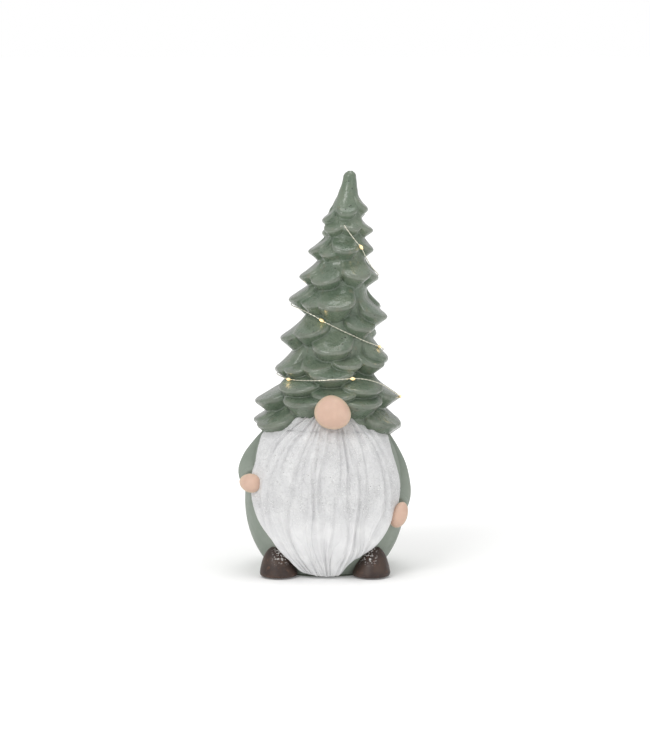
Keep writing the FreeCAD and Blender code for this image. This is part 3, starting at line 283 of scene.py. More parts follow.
def closed_tube(rings):
    """Vertices and faces of a stack of rings with a point closing each end."""
    rows, cols, _ = rings.shape
    verts = np.concatenate([rings.reshape(-1, 3), [rings[0].mean(axis=0)], [rings[-1].mean(axis=0)]])
    faces = ring_faces(rows, cols)
    start, end = rows * cols, rows * cols + 1
    last = (rows - 1) * cols
    for k in range(cols):
        nxt = (k + 1) % cols
        faces.append((start, nxt, k))
        faces.append((end, last + k, last + nxt))
    return verts, faces


def path_frames(path):
    """Tangents and two normals along a path, turned as little as possible."""
    tangent = np.gradient(path, axis=0)
    tangent /= np.linalg.norm(tangent, axis=1)[:, None]
    normal = np.zeros_like(path)
    side = np.cross(tangent[0], [0, 0, 1.0])
    if np.linalg.norm(side) < 0.1:
        side = np.cross(tangent[0], [0, 1.0, 0])
    normal[0] = side / np.linalg.norm(side)
    for i in range(1, len(path)):
        side = normal[i - 1] - tangent[i] * np.dot(normal[i - 1], tangent[i])
        normal[i] = side / np.linalg.norm(side)
    return tangent, normal, np.cross(tangent, normal)


def outwards(point):
    """The level direction from the hat's leaning axis to a point."""
    out = np.array([point[0] - lean_x(point[2]), point[1], 0.0])
    return out / np.linalg.norm(out)


def lengths_along(path):
    return np.concatenate([[0], np.cumsum(np.linalg.norm(np.diff(path, axis=0), axis=1))])


def joined(shells):
    """Several (vertices, faces) shells as one."""
    verts, faces, count = [], [], 0
    for shell_verts, shell_faces in shells:
        verts.append(shell_verts)
        faces += [tuple(i + count for i in face) for face in shell_faces]
        count += len(shell_verts)
    return np.concatenate(verts), faces


def tube_rings(path, radii, cols):
    _, normal, across = path_frames(path)
    angle = 2 * math.pi * np.arange(cols) / cols
    cos, sin = np.cos(angle)[None, :, None], np.sin(angle)[None, :, None]
    around = normal[:, None] * cos + across[:, None] * sin
    return path[:, None] + around * np.asarray(radii)[:, None, None]


# ---------------------------------------------------------------- materials
# Colours are linear. Noise sizes and bump depths are in millimetres, and places in metres.
class Nodes:
    """A material's node tree, with short calls for the nodes used here."""

    def __init__(self, name):
        self.material = bpy.data.materials.new(name)
        self.material.use_nodes = True
        self.tree = self.material.node_tree
        self.bsdf = self.tree.nodes["Principled BSDF"]
        self.place = self.tree.nodes.new("ShaderNodeTexCoord").outputs["Object"]

    def link(self, source, target):
        self.tree.links.new(source, target)

    def feed(self, socket, value):
        if isinstance(value, bpy.types.NodeSocket):
            self.link(value, socket)
        else:
            socket.default_value = value

    def noise(self, size_mm, detail=3.0, roughness=0.55):
        node = self.tree.nodes.new("ShaderNodeTexNoise")
        self.link(self.place, node.inputs["Vector"])
        node.inputs["Scale"].default_value = 1 / (size_mm * MM)
        node.inputs["Detail"].default_value = detail
        node.inputs["Roughness"].default_value = roughness
        return node.outputs["Fac"]

    def cells(self, size_mm):
        """Distance to the nearest of many scattered points, for specks."""
        node = self.tree.nodes.new("ShaderNodeTexVoronoi")
        self.link(self.place, node.inputs["Vector"])
        node.inputs["Scale"].default_value = 1 / (size_mm * MM)
        return node.outputs["Distance"]

    def ramp(self, value, low, high, from_value=0.0, to_value=1.0):
        node = self.tree.nodes.new("ShaderNodeMapRange")
        node.interpolation_type = "SMOOTHSTEP"
        self.feed(node.inputs["Value"], value)
        node.inputs["From Min"].default_value = low
        node.inputs["From Max"].default_value = high
        node.inputs["To Min"].default_value = from_value
        node.inputs["To Max"].default_value = to_value
        return node.outputs["Result"]

    def mix(self, share, a, b):
        node = self.tree.nodes.new("ShaderNodeMix")
        node.data_type = "RGBA"
        self.feed(node.inputs[0], share)
        self.feed(node.inputs[6], a if isinstance(a, bpy.types.NodeSocket) else (*a, 1))
        self.feed(node.inputs[7], b if isinstance(b, bpy.types.NodeSocket) else (*b, 1))
        return node.outputs[2]

    def math(self, operation, a, b=0.0):
        node = self.tree.nodes.new("ShaderNodeMath")
        node.operation = operation
        self.feed(node.inputs[0], a)
        self.feed(node.inputs[1], b)
        return node.outputs[0]

    def height(self):
        node = self.tree.nodes.new("ShaderNodeSeparateXYZ")
        self.link(self.place, node.inputs[0])
        return node.outputs["Z"]

    def inward(self):
        """Distance from the figure's middle plane."""
        node = self.tree.nodes.new("ShaderNodeSeparateXYZ")
        self.link(self.place, node.inputs[0])
        return self.math("ABSOLUTE", node.outputs["X"])

    def relief(self):
        node = self.tree.nodes.new("ShaderNodeAttribute")
        node.attribute_name = "relief"
        return node.outputs["Fac"]

    def facing(self):
        return self.tree.nodes.new("ShaderNodeLayerWeight").outputs["Facing"]

    def bump(self, height, depth_mm, previous=None):
        node = self.tree.nodes.new("ShaderNodeBump")
        node.inputs["Distance"].default_value = depth_mm * MM
        self.link(height, node.inputs["Height"])
        if previous is not None:
            self.link(previous, node.inputs["Normal"])
        self.link(node.outputs[0], self.bsdf.inputs["Normal"])
        return node.outputs[0]

    def set(self, name, value):
        self.feed(self.bsdf.inputs[name], value)


def hat_glaze():
    n = Nodes("hat_glaze")
    mottle = n.ramp(n.noise(14, 4), 0.35, 0.68)
    colour = n.mix(mottle, (0.096, 0.136, 0.090), (0.146, 0.182, 0.128))
    colour = n.mix(n.ramp(n.noise(5, 3), 0.56, 0.75, 0, 0.45), colour, (0.185, 0.170, 0.112))
    # Darker green where glaze pools in the hollows between and under the branches, and painted shade in
    # those same hollows.
    pooled_glaze_and_shade = n.ramp(n.relief(), -0.25, -1.5)
    colour = n.mix(n.math("MULTIPLY", pooled_glaze_and_shade, 0.55), colour, (0.052, 0.080, 0.050))
    worn = n.math("MULTIPLY", n.ramp(n.relief(), 0.30, 0.95), n.ramp(n.noise(6, 3), 0.3, 0.6, 0.45, 1.0))
    edge = n.mix(n.ramp(n.noise(9, 2), 0.4, 0.6), (0.190, 0.186, 0.168), (0.130, 0.118, 0.106))
    colour = n.mix(n.math("MULTIPLY", worn, 0.34), colour, edge)
    colour = n.mix(n.ramp(n.facing(), 0.62, 1.0, 0, 0.6), colour, (0.125, 0.117, 0.108))
    speck_gate = n.ramp(n.noise(9, 1), 0.56, 0.60)
    specks = n.math("MULTIPLY", n.ramp(n.cells(3.2), 0.17, 0.11), speck_gate)
    colour = n.mix(specks, colour, (0.012, 0.014, 0.010))
    n.set("Base Color", colour)
    n.set("Roughness", n.ramp(n.noise(3), 0.3, 0.7, 0.26, 0.42))
    n.set("Coat Weight", 0.55)
    n.set("Coat Roughness", 0.10)
    ripple = n.bump(n.noise(2.6, 3), 0.75)
    n.bump(n.math("SUBTRACT", 1.0, specks), 0.3, ripple)
    return n.material


def body_glaze():
    n = Nodes("body_glaze")
    colour = n.mix(n.ramp(n.noise(18, 3), 0.35, 0.65), (0.215, 0.250, 0.208), (0.245, 0.278, 0.235))
    colour = n.mix(n.ramp(n.noise(1.2, 2), 0.62, 0.72, 0, 0.25), colour, (0.16, 0.19, 0.155))
    n.set("Base Color", colour)
    n.set("Roughness", n.ramp(n.noise(6), 0.3, 0.7, 0.52, 0.66))
    n.bump(n.noise(0.9, 4), 0.06)
    return n.material


def beard_glaze():
    n = Nodes("beard_glaze")
    upper = n.ramp(n.height(), 0.034, 0.060)
    colour = n.mix(n.ramp(n.noise(12, 3), 0.35, 0.7), (0.70, 0.70, 0.705), (0.78, 0.78, 0.78))
    # Painted shade: the creases between strands are darkened towards grey.
    creases = n.ramp(n.relief(), -0.15, -1.1)
    colour = n.mix(n.math("MULTIPLY", creases, 0.12), colour, (0.45, 0.45, 0.47))
    specks = n.math("MULTIPLY", n.ramp(n.cells(2.6), 0.13, 0.08), n.ramp(n.noise(6, 1), 0.62, 0.66))
    colour = n.mix(specks, colour, (0.05, 0.045, 0.04))
    grain = n.math("MULTIPLY", n.ramp(n.noise(1.1, 2), 0.50, 0.38), upper)
    colour = n.mix(n.math("MULTIPLY", grain, 0.22), colour, (0.50, 0.50, 0.51))
    glint_gate = n.math("MULTIPLY", upper, n.ramp(n.noise(7, 1), 0.42, 0.58))
    glints = n.math("MULTIPLY", n.ramp(n.cells(1.7), 0.36, 0.28), glint_gate)
    n.set("Base Color", n.mix(glints, colour, (0.95, 0.95, 0.95)))
    n.set("Roughness", n.mix(glints, (0.62, 0.62, 0.62), (0.16, 0.16, 0.16)))
    grit = n.math("MULTIPLY", n.noise(0.9, 3, 0.7), n.ramp(n.height(), 0.03, 0.06, 0.15, 1.0))
    coarse = n.bump(grit, 0.9)
    n.bump(glints, 0.6, coarse)
    return n.material


def skin_glaze():
    n = Nodes("skin_glaze")
    colour = n.mix(n.ramp(n.noise(11, 2), 0.35, 0.7), (0.575, 0.390, 0.300), (0.640, 0.445, 0.345))
    colour = n.mix(n.ramp(n.facing(), 0.35, 0.85, 0, 0.7), colour, (0.575, 0.455, 0.315))
    n.set("Base Color", colour)
    n.set("Roughness", n.ramp(n.noise(5), 0.3, 0.7, 0.48, 0.60))
    n.set("Subsurface Weight", 0.05)
    n.set("Subsurface Radius", (0.004, 0.002, 0.001))
    n.bump(n.noise(0.8, 4), 0.05)
    return n.material


def boot_glaze():
    n = Nodes("boot_glaze")
    colour = n.mix(n.ramp(n.noise(8, 4), 0.35, 0.7), (0.029, 0.016, 0.012), (0.062, 0.036, 0.025))
    colour = n.mix(n.ramp(n.noise(3.5, 3), 0.56, 0.72, 0, 0.5), colour, (0.13, 0.060, 0.036))
    inner = n.math("MULTIPLY", n.ramp(n.height(), 0.009, 0.017), n.ramp(n.inward(), 0.041, 0.033))
    dust = n.math("MULTIPLY", n.ramp(n.cells(1.6), 0.42, 0.34), inner)
    n.set("Base Color", n.mix(dust, colour, (0.62, 0.60, 0.58)))
    n.set("Roughness", n.ramp(n.noise(4), 0.3, 0.7, 0.40, 0.58))
    n.bump(n.noise(1.4, 4), 0.14)
    return n.material


def metal(name, colour, roughness, grain_mm=0.4):
    n = Nodes(name)
    n.set("Metallic", 1.0)
    n.set("Base Color", n.mix(n.noise(grain_mm * 6, 3), tuple(0.82 * c for c in colour), colour))
    n.set("Roughness", n.ramp(n.noise(grain_mm, 2), 0.3, 0.7, roughness - 0.06, roughness + 0.08))
    n.bump(n.noise(grain_mm, 2), 0.01)
    return n.material


def moulded(name, colour, roughness, grain_mm=0.35, depth_mm=0.02):
    """Plastic, rubber or board: a fine moulded grain and a little unevenness of colour."""
    n = Nodes(name)
    n.set("Base Color", n.mix(n.noise(6, 3), tuple(0.85 * c for c in colour), colour))
    n.set("Roughness", n.ramp(n.noise(grain_mm * 3, 2), 0.3, 0.7, roughness - 0.06, roughness + 0.06))
    n.bump(n.noise(grain_mm, 3), depth_mm)
    return n.material


def felt():
    """Pressed wool: mottled fibres over a fuzzy surface."""
    n = Nodes("felt")
    n.set("Base Color", n.mix(n.noise(0.5, 5), (0.07, 0.085, 0.065), (0.16, 0.18, 0.14)))
    n.set("Roughness", n.ramp(n.noise(0.8), 0.3, 0.7, 0.85, 1.0))
    n.bump(n.noise(0.25, 5, 0.8), 0.15)
    return n.material


def lit_resin():
    n = Nodes("lit_resin")
    glow = n.mix(n.ramp(n.noise(1.0, 1), 0.35, 0.65), (0.85, 0.60, 0.28), (0.92, 0.76, 0.46))
    n.set("Base Color", glow)
    n.set("Roughness", n.ramp(n.noise(0.6), 0.3, 0.7, 0.05, 0.12))
    n.set("Emission Color", glow)
    n.set("Emission Strength", 0.22)
    n.set("Coat Weight", 1.0)
    n.set("Coat Roughness", 0.04)
    return n.material


# ---------------------------------------------------------------- the hat
def lean_x(z):
    return LEAN_FOOT_X + LEAN_PER_MM * (z - LEAN_FOOT_Z)


def trunk_radius(z):
    shoulder_z, shoulder_r = TRUNK[-1]
    dome = shoulder_r * np.sqrt(np.clip(1 - ((z - shoulder_z) / (HEIGHT - shoulder_z)) ** 2, 0, None))
    return np.where(z > shoulder_z, dome, spline(np.minimum(z, shoulder_z), TRUNK))


def branch_field(angle, z, trunk, half_angle, rise, branch):
    """Reach of one branch: a face that slopes up to the trunk over a face that falls back below the lip."""
    azimuth, tip_z, tip_reach = branch
    off = (angle - math.radians(azimuth) + math.pi) % (2 * math.pi) - math.pi
    across = np.abs(off) / math.radians(half_angle)
    lip_z = tip_z + DROOP * across ** 2
    plan = np.clip(1 - across ** PLAN_SQUARENESS, 0, 1) ** PLAN_ROUNDNESS
    root = np.interp(tip_z, *np.array(TRUNK, float).T)
    lip = root + (tip_reach + LIP_BLEND / 4 - root) * plan
    above = (z - lip_z) / rise
    face = trunk - BLEND + (lip - trunk + BLEND) * np.clip(1 - above, 0, 2.0) ** FLARE
    underside = lip + UNDERSIDE * (z - lip_z)
    reach = smooth_min(face, underside, LIP_BLEND)
    return np.where((across < BRANCH_OVERLAP) & (above < 1), reach, 0.0)


def hat_field(angle, z):
    trunk = trunk_radius(z)
    reach = trunk
    for half_angle, rise, branches in TIERS:
        for branch in branches:
            reach = smooth_max(reach, branch_field(angle, z, trunk, half_angle, rise, branch), BLEND)
    return reach


def hat_foot(angles):
    """The height at each angle where the underside of the brim meets the body."""
    z = np.linspace(*BRIM_SEARCH_Z, BRIM_SEARCH_STEPS)
    grid_angle, grid_z = np.meshgrid(angles, z)
    inside = hat_field(grid_angle, grid_z) < egg_radius(grid_z) + BRIM_GAP
    return z[np.argmax(inside, axis=0)]


def hat_grid(rows=500, cols=640):
    angles = 2 * math.pi * np.arange(cols) / cols
    foot = hat_foot(angles)
    share = np.linspace(0, 1, rows)[:, None]
    z = HEIGHT - TIP_GAP - share * (HEIGHT - TIP_GAP - foot[None, :])
    angle = np.broadcast_to(angles, z.shape)
    reach = hat_field(angle, z)
    points = np.stack([lean_x(z) + reach * np.sin(angle), -reach * np.cos(angle), z], axis=-1)
    swell = sum(height * lumps(points, size, seed) for height, size, seed in HAT_SWELLS)
    fade = np.clip((HEIGHT - z) / SWELL_FADE_TIP, 0, 1) * np.clip((z - foot) / SWELL_FADE_BRIM, 0, 1)
    reach = reach + swell * fade
    points[..., 0] = lean_x(z) + reach * np.sin(angle)
    points[..., 1] = -reach * np.cos(angle)
    return points, angles, foot, relief_of(reach, HAT_RELIEF_ROUNDS)


def build_hat(material):
    """Outside of the hat, then back up its inside to a closed point, as one skin."""
    outside, angles, foot, relief = hat_grid()
    inner = []
    for i in range(1, LINING_RINGS + 1):
        z = foot + (BODY_TOP_Z - foot) * i / LINING_RINGS
        inner.append((egg_radius(z) + LINING_GAP, z))
    for z, r in CORE:
        inner.append((np.full_like(angles, r), np.full_like(angles, z)))
    rings = []
    for r, z in inner:
        middle_x = lean_x(z) * np.clip((z - CORE_LEAN_Z) / CORE_LEAN_OVER, 0, 1)
        rings.append(np.stack([middle_x + r * np.sin(angles), -r * np.cos(angles), z], axis=-1))
    verts, faces = closed_tube(np.concatenate([outside, np.array(rings)]))
    add_piece("hat", verts, faces, material, ["hat_shell"], relief)


# ---------------------------------------------------------------- body and beard
def body_profile(cols, angles):
    """Rings of the body as (radius at each angle, height): down the outside, in, and up the inside."""
    across = np.abs(np.sin(angles) / OPENING_HALF_X) ** OPENING_SQUARENESS
    along = np.abs(np.cos(angles) / OPENING_HALF_Y) ** OPENING_SQUARENESS
    opening = (across + along) ** (-1 / OPENING_SQUARENESS)
    ones = np.ones(cols)
    round_z = SOLE_Z + FOOT_ROUND_HEIGHT
    floor_z = SOLE_Z + FLOOR_THICKNESS
    outside = np.linspace(BODY_TOP_Z, round_z, BODY_ROWS["outside"])
    profile = [(egg_radius(z) * ones, z) for z in outside]
    foot_r = float(egg_radius(round_z))
    for turn in np.linspace(0.25, 1, BODY_ROWS["round"]) * math.pi / 2:
        r = foot_r - FOOT_ROUND_DEPTH * (1 - math.cos(turn))
        profile.append((r * ones, SOLE_Z + FOOT_ROUND_HEIGHT * (1 - math.sin(turn))))
    foot_r -= FOOT_ROUND_DEPTH
    for share in np.linspace(0.2, 1, BODY_ROWS["foot"]):
        profile.append((foot_r + (opening - foot_r) * share, SOLE_Z))
    profile.append((opening, floor_z))
    profile.append((np.full(cols, float(egg_radius(floor_z)) - WALL), floor_z))
    for z in np.linspace(floor_z + INSIDE_FOOT, BODY_TOP_Z - INSIDE_HEAD, BODY_ROWS["inside"]):
        profile.append(((egg_radius(z) - WALL) * ones, z))
    return profile


def build_body(material, cols=320):
    """The egg outside, a rounded foot, the opening for the battery box, then the egg inside."""
    angles = 2 * math.pi * np.arange(cols) / cols
    rings = np.array([np.stack([r * np.sin(angles), -r * np.cos(angles), np.full(cols, z)], axis=-1)
                      for r, z in body_profile(cols, angles)])
    swell, size, seed = BODY_SWELL
    rings[:, :, :2] *= (1 + swell * lumps(rings, size, seed))[..., None]
    rows = len(rings)
    faces = ring_faces(rows, cols)
    k = np.arange(cols)
    nxt = (k + 1) % cols
    last = (rows - 1) * cols
    faces += np.stack([last + k, last + nxt, nxt, k], axis=1).tolist()
    add_piece("body", rings.reshape(-1, 3), faces, material, ["body_shell"])


def scallop(q):
    """A row of round strands with sharp creases between them, 0 to 1."""
    part = 2 * (q - np.floor(q)) - 1
    return np.sqrt(np.clip(1 - part * part, 0, 1))


def beard_relief(x, z):
    """Height of the strands, in millimetres. They gather under the nose and at the beard's tip."""
    fan = np.clip(1 - ((z - FAN_MIDDLE_Z) / FAN_HALF_HEIGHT) ** 2, FAN_LEAST, 1)
    half = FAN_WIDTH * fan ** FAN_POWER
    share = (x - spline(z, FAN_CENTRE)) / half
    outside = np.sign(share) * (1 + FAN_SPREAD_OUTSIDE * (np.abs(share) - 1))
    share = np.where(np.abs(share) < 1, share, outside)
    even = share * STRANDS / 2
    q = even + STRAND_WANDER * np.sin(z / STRAND_WANDER_UP + x / STRAND_WANDER_ACROSS)
    for size, per_strand, up in STRAND_SHIFTS:
        q = q + size * np.sin(per_strand * even + z / up)
    wave = 0.5 - 0.5 * np.cos(2 * math.pi * q)
    strands = STRAND_SHARPNESS * scallop(q) + (1 - STRAND_SHARPNESS) * wave
    per_strand, start, up = STRAND_SWING_WAVE
    uneven = STRAND_MEAN + STRAND_SWING * np.sin(per_strand * q + start + z / up)
    fine = scallop(FINE_STRANDS * q + FINE_START + FINE_WANDER * np.sin(z / FINE_WANDER_UP + q))
    fine_height = np.interp(z, *np.array(FINE_HEIGHT).T)
    return STRAND_HEIGHT * uneven * strands + fine_height * fine - STRAND_DATUM


def beard_angles(z_line, side):
    """The angle round the body, in radians from the front, of each row and column of the beard."""
    front_egg = egg_radius(z_line, BEARD_RADIUS, BEARD_BELOW, BEARD_ABOVE)
    outline = (1 - BEARD_OUTLINE_SHARE) * egg_radius(z_line) + BEARD_OUTLINE_SHARE * front_egg
    right = np.arcsin(np.clip(spline(z_line, BEARD_RIGHT_EDGE) / outline, -1, 1))
    left = np.arcsin(np.clip(spline(z_line, BEARD_LEFT_EDGE) / outline, -1, 1))
    return right[:, None] + (left - right)[:, None] * (side[None, :] + 1) / 2


def beard_edge(z_line, side):
    """Share of the beard's thickness: it rounds off to nothing at its sides and thins at its tip."""
    lip = np.clip((z_line - SOLE_Z) / BEARD_TIP_ROUND, 0, 1)[:, None]
    tip = BEARD_TIP_THIN + (1 - BEARD_TIP_THIN) * np.sqrt(1 - (1 - lip) ** 2)
    return np.clip(1 - np.abs(side) ** BEARD_EDGE_SQUARENESS, 0, 1)[None, :] ** 0.5 * tip


def build_beard(material, rows=430, cols=430):
    z_line = np.linspace(BEARD_TOP_Z, SOLE_Z, rows)
    side = np.linspace(-1, 1, cols)
    side = np.sign(side) * np.abs(side) ** BEARD_EDGE_CROWDING
    z = np.repeat(z_line[:, None], cols, axis=1)
    inner = egg_radius(z)
    angle = beard_angles(z_line, side)
    shoulder = np.clip(np.abs(angle) / BEARD_SHOULDER_ANGLE, 0, 1) ** 2
    under_brim = BEARD_TOP_Z - 1 - BEARD_SHOULDER_DROP * shoulder
    full = egg_radius(z, BEARD_RADIUS, BEARD_BELOW, BEARD_ABOVE) - inner
    full = full - np.clip(z - under_brim, 0, None) * BEARD_TUCK
    flat = inner + full
    relief = beard_relief(flat * np.sin(angle), z)
    points = np.stack([flat * np.sin(angle), -flat * np.cos(angle), z], axis=-1)
    grit = sum(height * lumps(points, size, seed) for height, size, seed in GRIT)
    grit = np.clip((z - GRIT_FOOT_Z) / GRIT_FADE, GRIT_LEAST, 1) * grit
    swell_height, swell_size, swell_seed = BEARD_SWELL
    grit = grit + swell_height * lumps(points, swell_size, swell_seed)
    outer = inner + BEARD_BED + (full + relief + grit) * beard_edge(z_line, side)
    sideways = flat * np.sin(angle) - BEARD_TIP_X
    bow = np.clip(BEARD_TIP_BOW * sideways ** 2, 0, BEARD_TIP_BOW_LIMIT)
    bow *= np.clip(1 - z / BEARD_TIP_BOW_Z, 0, 1)
    front = np.stack([outer * np.sin(angle), -outer * np.cos(angle), z + bow], axis=-1)
    back_r = inner + BEARD_BACK_GAP
    back = np.stack([back_r * np.sin(angle), -back_r * np.cos(angle), z + bow], axis=-1)
    verts, faces = closed_tube(np.concatenate([front, back[:, ::-1]], axis=1))
    shade = relief_of(full + relief, BEARD_RELIEF_ROUNDS)
    shade[:, :BEARD_EDGE_COLUMNS] = 0
    shade[:, -BEARD_EDGE_COLUMNS:] = 0
    shade = np.concatenate([shade, np.zeros_like(shade)], axis=1)
    add_piece("beard_strands", verts, faces, material, ["beard"], shade)


# ---------------------------------------------------------------- nose, hands, sleeves, boots
def ball_grid(rows=72, cols=96):
    """Unit directions of a ball's rows, from the top down."""
    polar = np.linspace(0.02, math.pi - 0.02, rows)[:, None]
    angle = (2 * math.pi * np.arange(cols) / cols)[None, :]
    return np.stack([np.sin(polar) * np.sin(angle), -np.sin(polar) * np.cos(angle),
                     np.cos(polar) * np.ones_like(angle)], axis=-1)


def build_nose(material):
    centre = (NOSE_LOW + NOSE_HIGH) / 2
    half = (NOSE_HIGH - NOSE_LOW) / 2
    unit = ball_grid()
    points = unit * np.array([NOSE_WIDTH_SHARE * half.x, half.y, half.z])
    points[..., 0] *= 1 - NOSE_NARROWER_ABOVE * unit[..., 2] - NOSE_NARROWER_ENDS * unit[..., 2] ** 2
    points[..., 2] -= NOSE_TILT * half.x * unit[..., 0]
    swell, size, seed = NOSE_SWELL
    points *= (1 + swell * lumps(points, size, seed))[..., None]
    verts, faces = closed_tube(points + np.array(centre))
    add_piece("nose_ball", verts, faces, material, ["nose"])


def build_hand(name, node, material, shift, aim, half_length, radius, thumb):
    """A mitten: an egg along the arm, with a thumb laid against it and a crease beside the thumb."""
    low, high = corners(node)
    centre = np.array((low + high) / 2 + Vector(shift))
    unit = ball_grid(64, 72)
    frame_z = Vector(aim).normalized()
    turn = np.array(frame_z.to_track_quat("Z", "Y").to_matrix())
    points = unit * np.array([radius, radius, half_length])
    points[..., :2] *= (1 + HAND_WIDER_AT_FINGERS * unit[..., 2])[..., None]
    thumb = np.array(thumb)
    lobe = np.exp(-np.sum((unit - thumb) ** 2, axis=-1) / THUMB_SPREAD)
    crease = np.exp(-np.sum((unit - CREASE_BEYOND_THUMB * thumb) ** 2, axis=-1) / CREASE_SPREAD)
    swell, size, seed = HAND_SWELL
    uneven = swell * lumps(points, size, seed)
    points *= (1 + THUMB_RISE * lobe - CREASE_DEPTH * crease + uneven)[..., None]
    verts, faces = closed_tube(points @ turn.T + centre)
    add_piece(name, verts, faces, material, [node])


def build_sleeve(name, node, stations, material, seed):
    """Cloth tube down the side of the body, (degrees from the front, height, stand-off, radius)."""
    knots = np.array(stations, float)
    t = np.linspace(0, len(knots) - 1, SLEEVE_ROWS)
    index = np.arange(len(knots))
    angle, z, stand_off, radius = (spline(t, np.stack([index, knots[:, c]], axis=1)) for c in range(4))
    r = egg_radius(z) + stand_off - radius
    a = np.radians(angle)
    path = np.stack([r * np.sin(a), -r * np.cos(a), z], axis=1)
    end = np.clip((t[-1] - t) / CUFF_ROUND, 0, 1)
    start = np.clip(t / SHOULDER_ROUND, 0, 1)
    crease = 1 - CUFF_CREASE * np.exp(-((t[-1] - CUFF_CREASE_AT - t) / CUFF_CREASE_WIDTH) ** 2)
    cuff = CUFF_LEAST + (1 - CUFF_LEAST) * np.sqrt(1 - (1 - end) ** 2)
    shoulder = np.sqrt(1 - (1 - start) ** 2).clip(SHOULDER_LEAST)
    rings = tube_rings(path, radius * crease * cuff * shoulder, SLEEVE_COLS)
    swell = (SLEEVE_SWELL * lumps(rings, SLEEVE_SWELL_SIZE, seed))[..., None]
    rings += swell * (rings - path[:, None]) / SLEEVE_SWELL_RADIUS
    verts, faces = closed_tube(rings)
    add_piece(name, verts, faces, material, [node])


def boot_section(share, height):
    """Height above the sole and width, as a share, of one level of a boot."""
    if share < WELT_SHARE:
        turn = share / WELT_SHARE
        welt = math.sqrt(1 - (1 - turn) ** 2)
        return WELT_HEIGHT * (1 - math.cos(turn * math.pi / 2)), SOLE_SHARE + (1 - SOLE_SHARE) * welt
    up = math.sin((share - WELT_SHARE) / (1 - WELT_SHARE) * math.pi / 2)
    grow = (1 - up ** BOOT_SQUARENESS) ** 0.5 * (1 - BOOT_TAPER * up)
    return WELT_HEIGHT + (height - WELT_HEIGHT) * up, grow


def build_boot(name, node, side, material, rows=60, cols=96):
    """A round-toed boot that leans outwards, with a flat sole and a rounded welt."""
    low, high = corners(node)
    centre = (low + high) / 2
    half = (high - low) / 2
    angle = 2 * math.pi * np.arange(cols) / cols
    rings = []
    for share in np.linspace(0, 1, rows):
        rise, grow = boot_section(share, high.z - low.z)
        toe = 1 + TOE_SWELL * np.cos(angle) * (1 - share)
        x = centre.x + side * BOOT_SPLAY * (share - BOOT_SPLAY_FROM) + half.x * grow * np.sin(angle)
        y = centre.y + BOOT_RAKE * share - half.y * grow * toe * np.cos(angle)
        rings.append(np.stack([x, y, np.full(cols, low.z + rise)], axis=-1))
    rings = np.array(rings)
    lump = (BOOT_SWELL * lumps(rings, BOOT_SWELL_SIZE, BOOT_SEED + side))[..., None]
    swell = lump * np.sign(rings - rings.mean(axis=1, keepdims=True))
    rings[2:, :, :2] += swell[2:, :, :2]
    verts, faces = closed_tube(rings[::-1])
    add_piece(name, verts, faces, material, [node])


# ---------------------------------------------------------------- the light string
def string_path():
    """A taut line over the branch tips, entering the hat at both ends."""
    turns = np.linspace(STRING_ROUTE[0][0], STRING_ROUTE[-1][0], STRING_POINTS)
    z = spline(turns, STRING_ROUTE)
    angle = 2 * math.pi * turns
    near = [hat_field(angle + da, z + dz) for da in (-STRING_FEEL_ANGLE, 0, STRING_FEEL_ANGLE)
            for dz in (-STRING_FEEL_HEIGHT, 0, STRING_FEEL_HEIGHT)]
    rest = np.max(near, axis=0) + STRING_STAND_OFF
    dive = np.linspace(STRING_END_DEPTH, 0, STRING_END_POINTS)
    rise = np.linspace(0, STRING_END_DEPTH, STRING_END_POINTS)
    ends = rest.copy()
    ends[:STRING_END_POINTS] -= dive
    ends[-STRING_END_POINTS:] -= rise
    reach = ends.copy()
    chord = math.cos(angle[1] - angle[0])
    for step in range(STRING_TIGHTENING):
        span = 2 * chord * reach[:-2] * reach[2:] / (reach[:-2] + reach[2:])
        reach[1:-1] = np.maximum(rest[1:-1], 0.5 * (span + reach[1:-1]))
        if step % 2 == 0:
            reach[:STRING_END_POINTS] = ends[:STRING_END_POINTS]
            reach[-STRING_END_POINTS:] = ends[-STRING_END_POINTS:]
    for _ in range(STRING_SOFTENING):
        reach[1:-1] = (reach[:-2] + 2 * reach[1:-1] + reach[2:]) / 4
    return np.stack([lean_x(z) + reach * np.sin(angle), -reach * np.cos(angle), z], axis=1)


def build_wire(path, material):
    """Two fine strands twisted round each other."""
    _, normal, across = path_frames(path)
    shells = []
    for half in (0, math.pi):
        turn = 2 * math.pi * lengths_along(path) / STRAND_PITCH + half
        aside = normal * np.cos(turn)[:, None] + across * np.sin(turn)[:, None]
        strand = path + STRAND_RADIUS * aside
        shells.append(closed_tube(tube_rings(strand, np.full(len(strand), STRAND_RADIUS), 8)))
    verts, faces = joined(shells)
    add_piece("string_strands", verts, faces, material, ["light_wire"])


def bead_places(path):
    """Indices of the path's points that carry a bead, evenly spaced from the anchor both ways."""
    length = lengths_along(path)
    turns = np.linspace(STRING_ROUTE[0][0], STRING_ROUTE[-1][0], len(path))
    anchor = np.interp(BEAD_ANCHOR_TURNS, turns, length)
    low, high = BEAD_END_ROOM[0], length[-1] - BEAD_END_ROOM[1]
    places = [anchor + k * BEAD_SPACING for k in BEAD_REACH]
    return [int(np.argmin(np.abs(length - s))) for s in places if low < s < high]


def add_glow(number, point):
    """A small warm lamp that lights the glaze behind a bead."""
    glow = bpy.data.lights.new(f"bead_glow_{number}", "POINT")
    glow.energy = GLOW_WATTS
    glow.color = GLOW_COLOUR
    glow.shadow_soft_size = GLOW_RADIUS_M
    lamp = bpy.data.objects.new(glow.name, glow)
    lamp.location = Vector((point + GLOW_OUTSET * outwards(point)) * MM)
    bpy.context.scene.collection.objects.link(lamp)


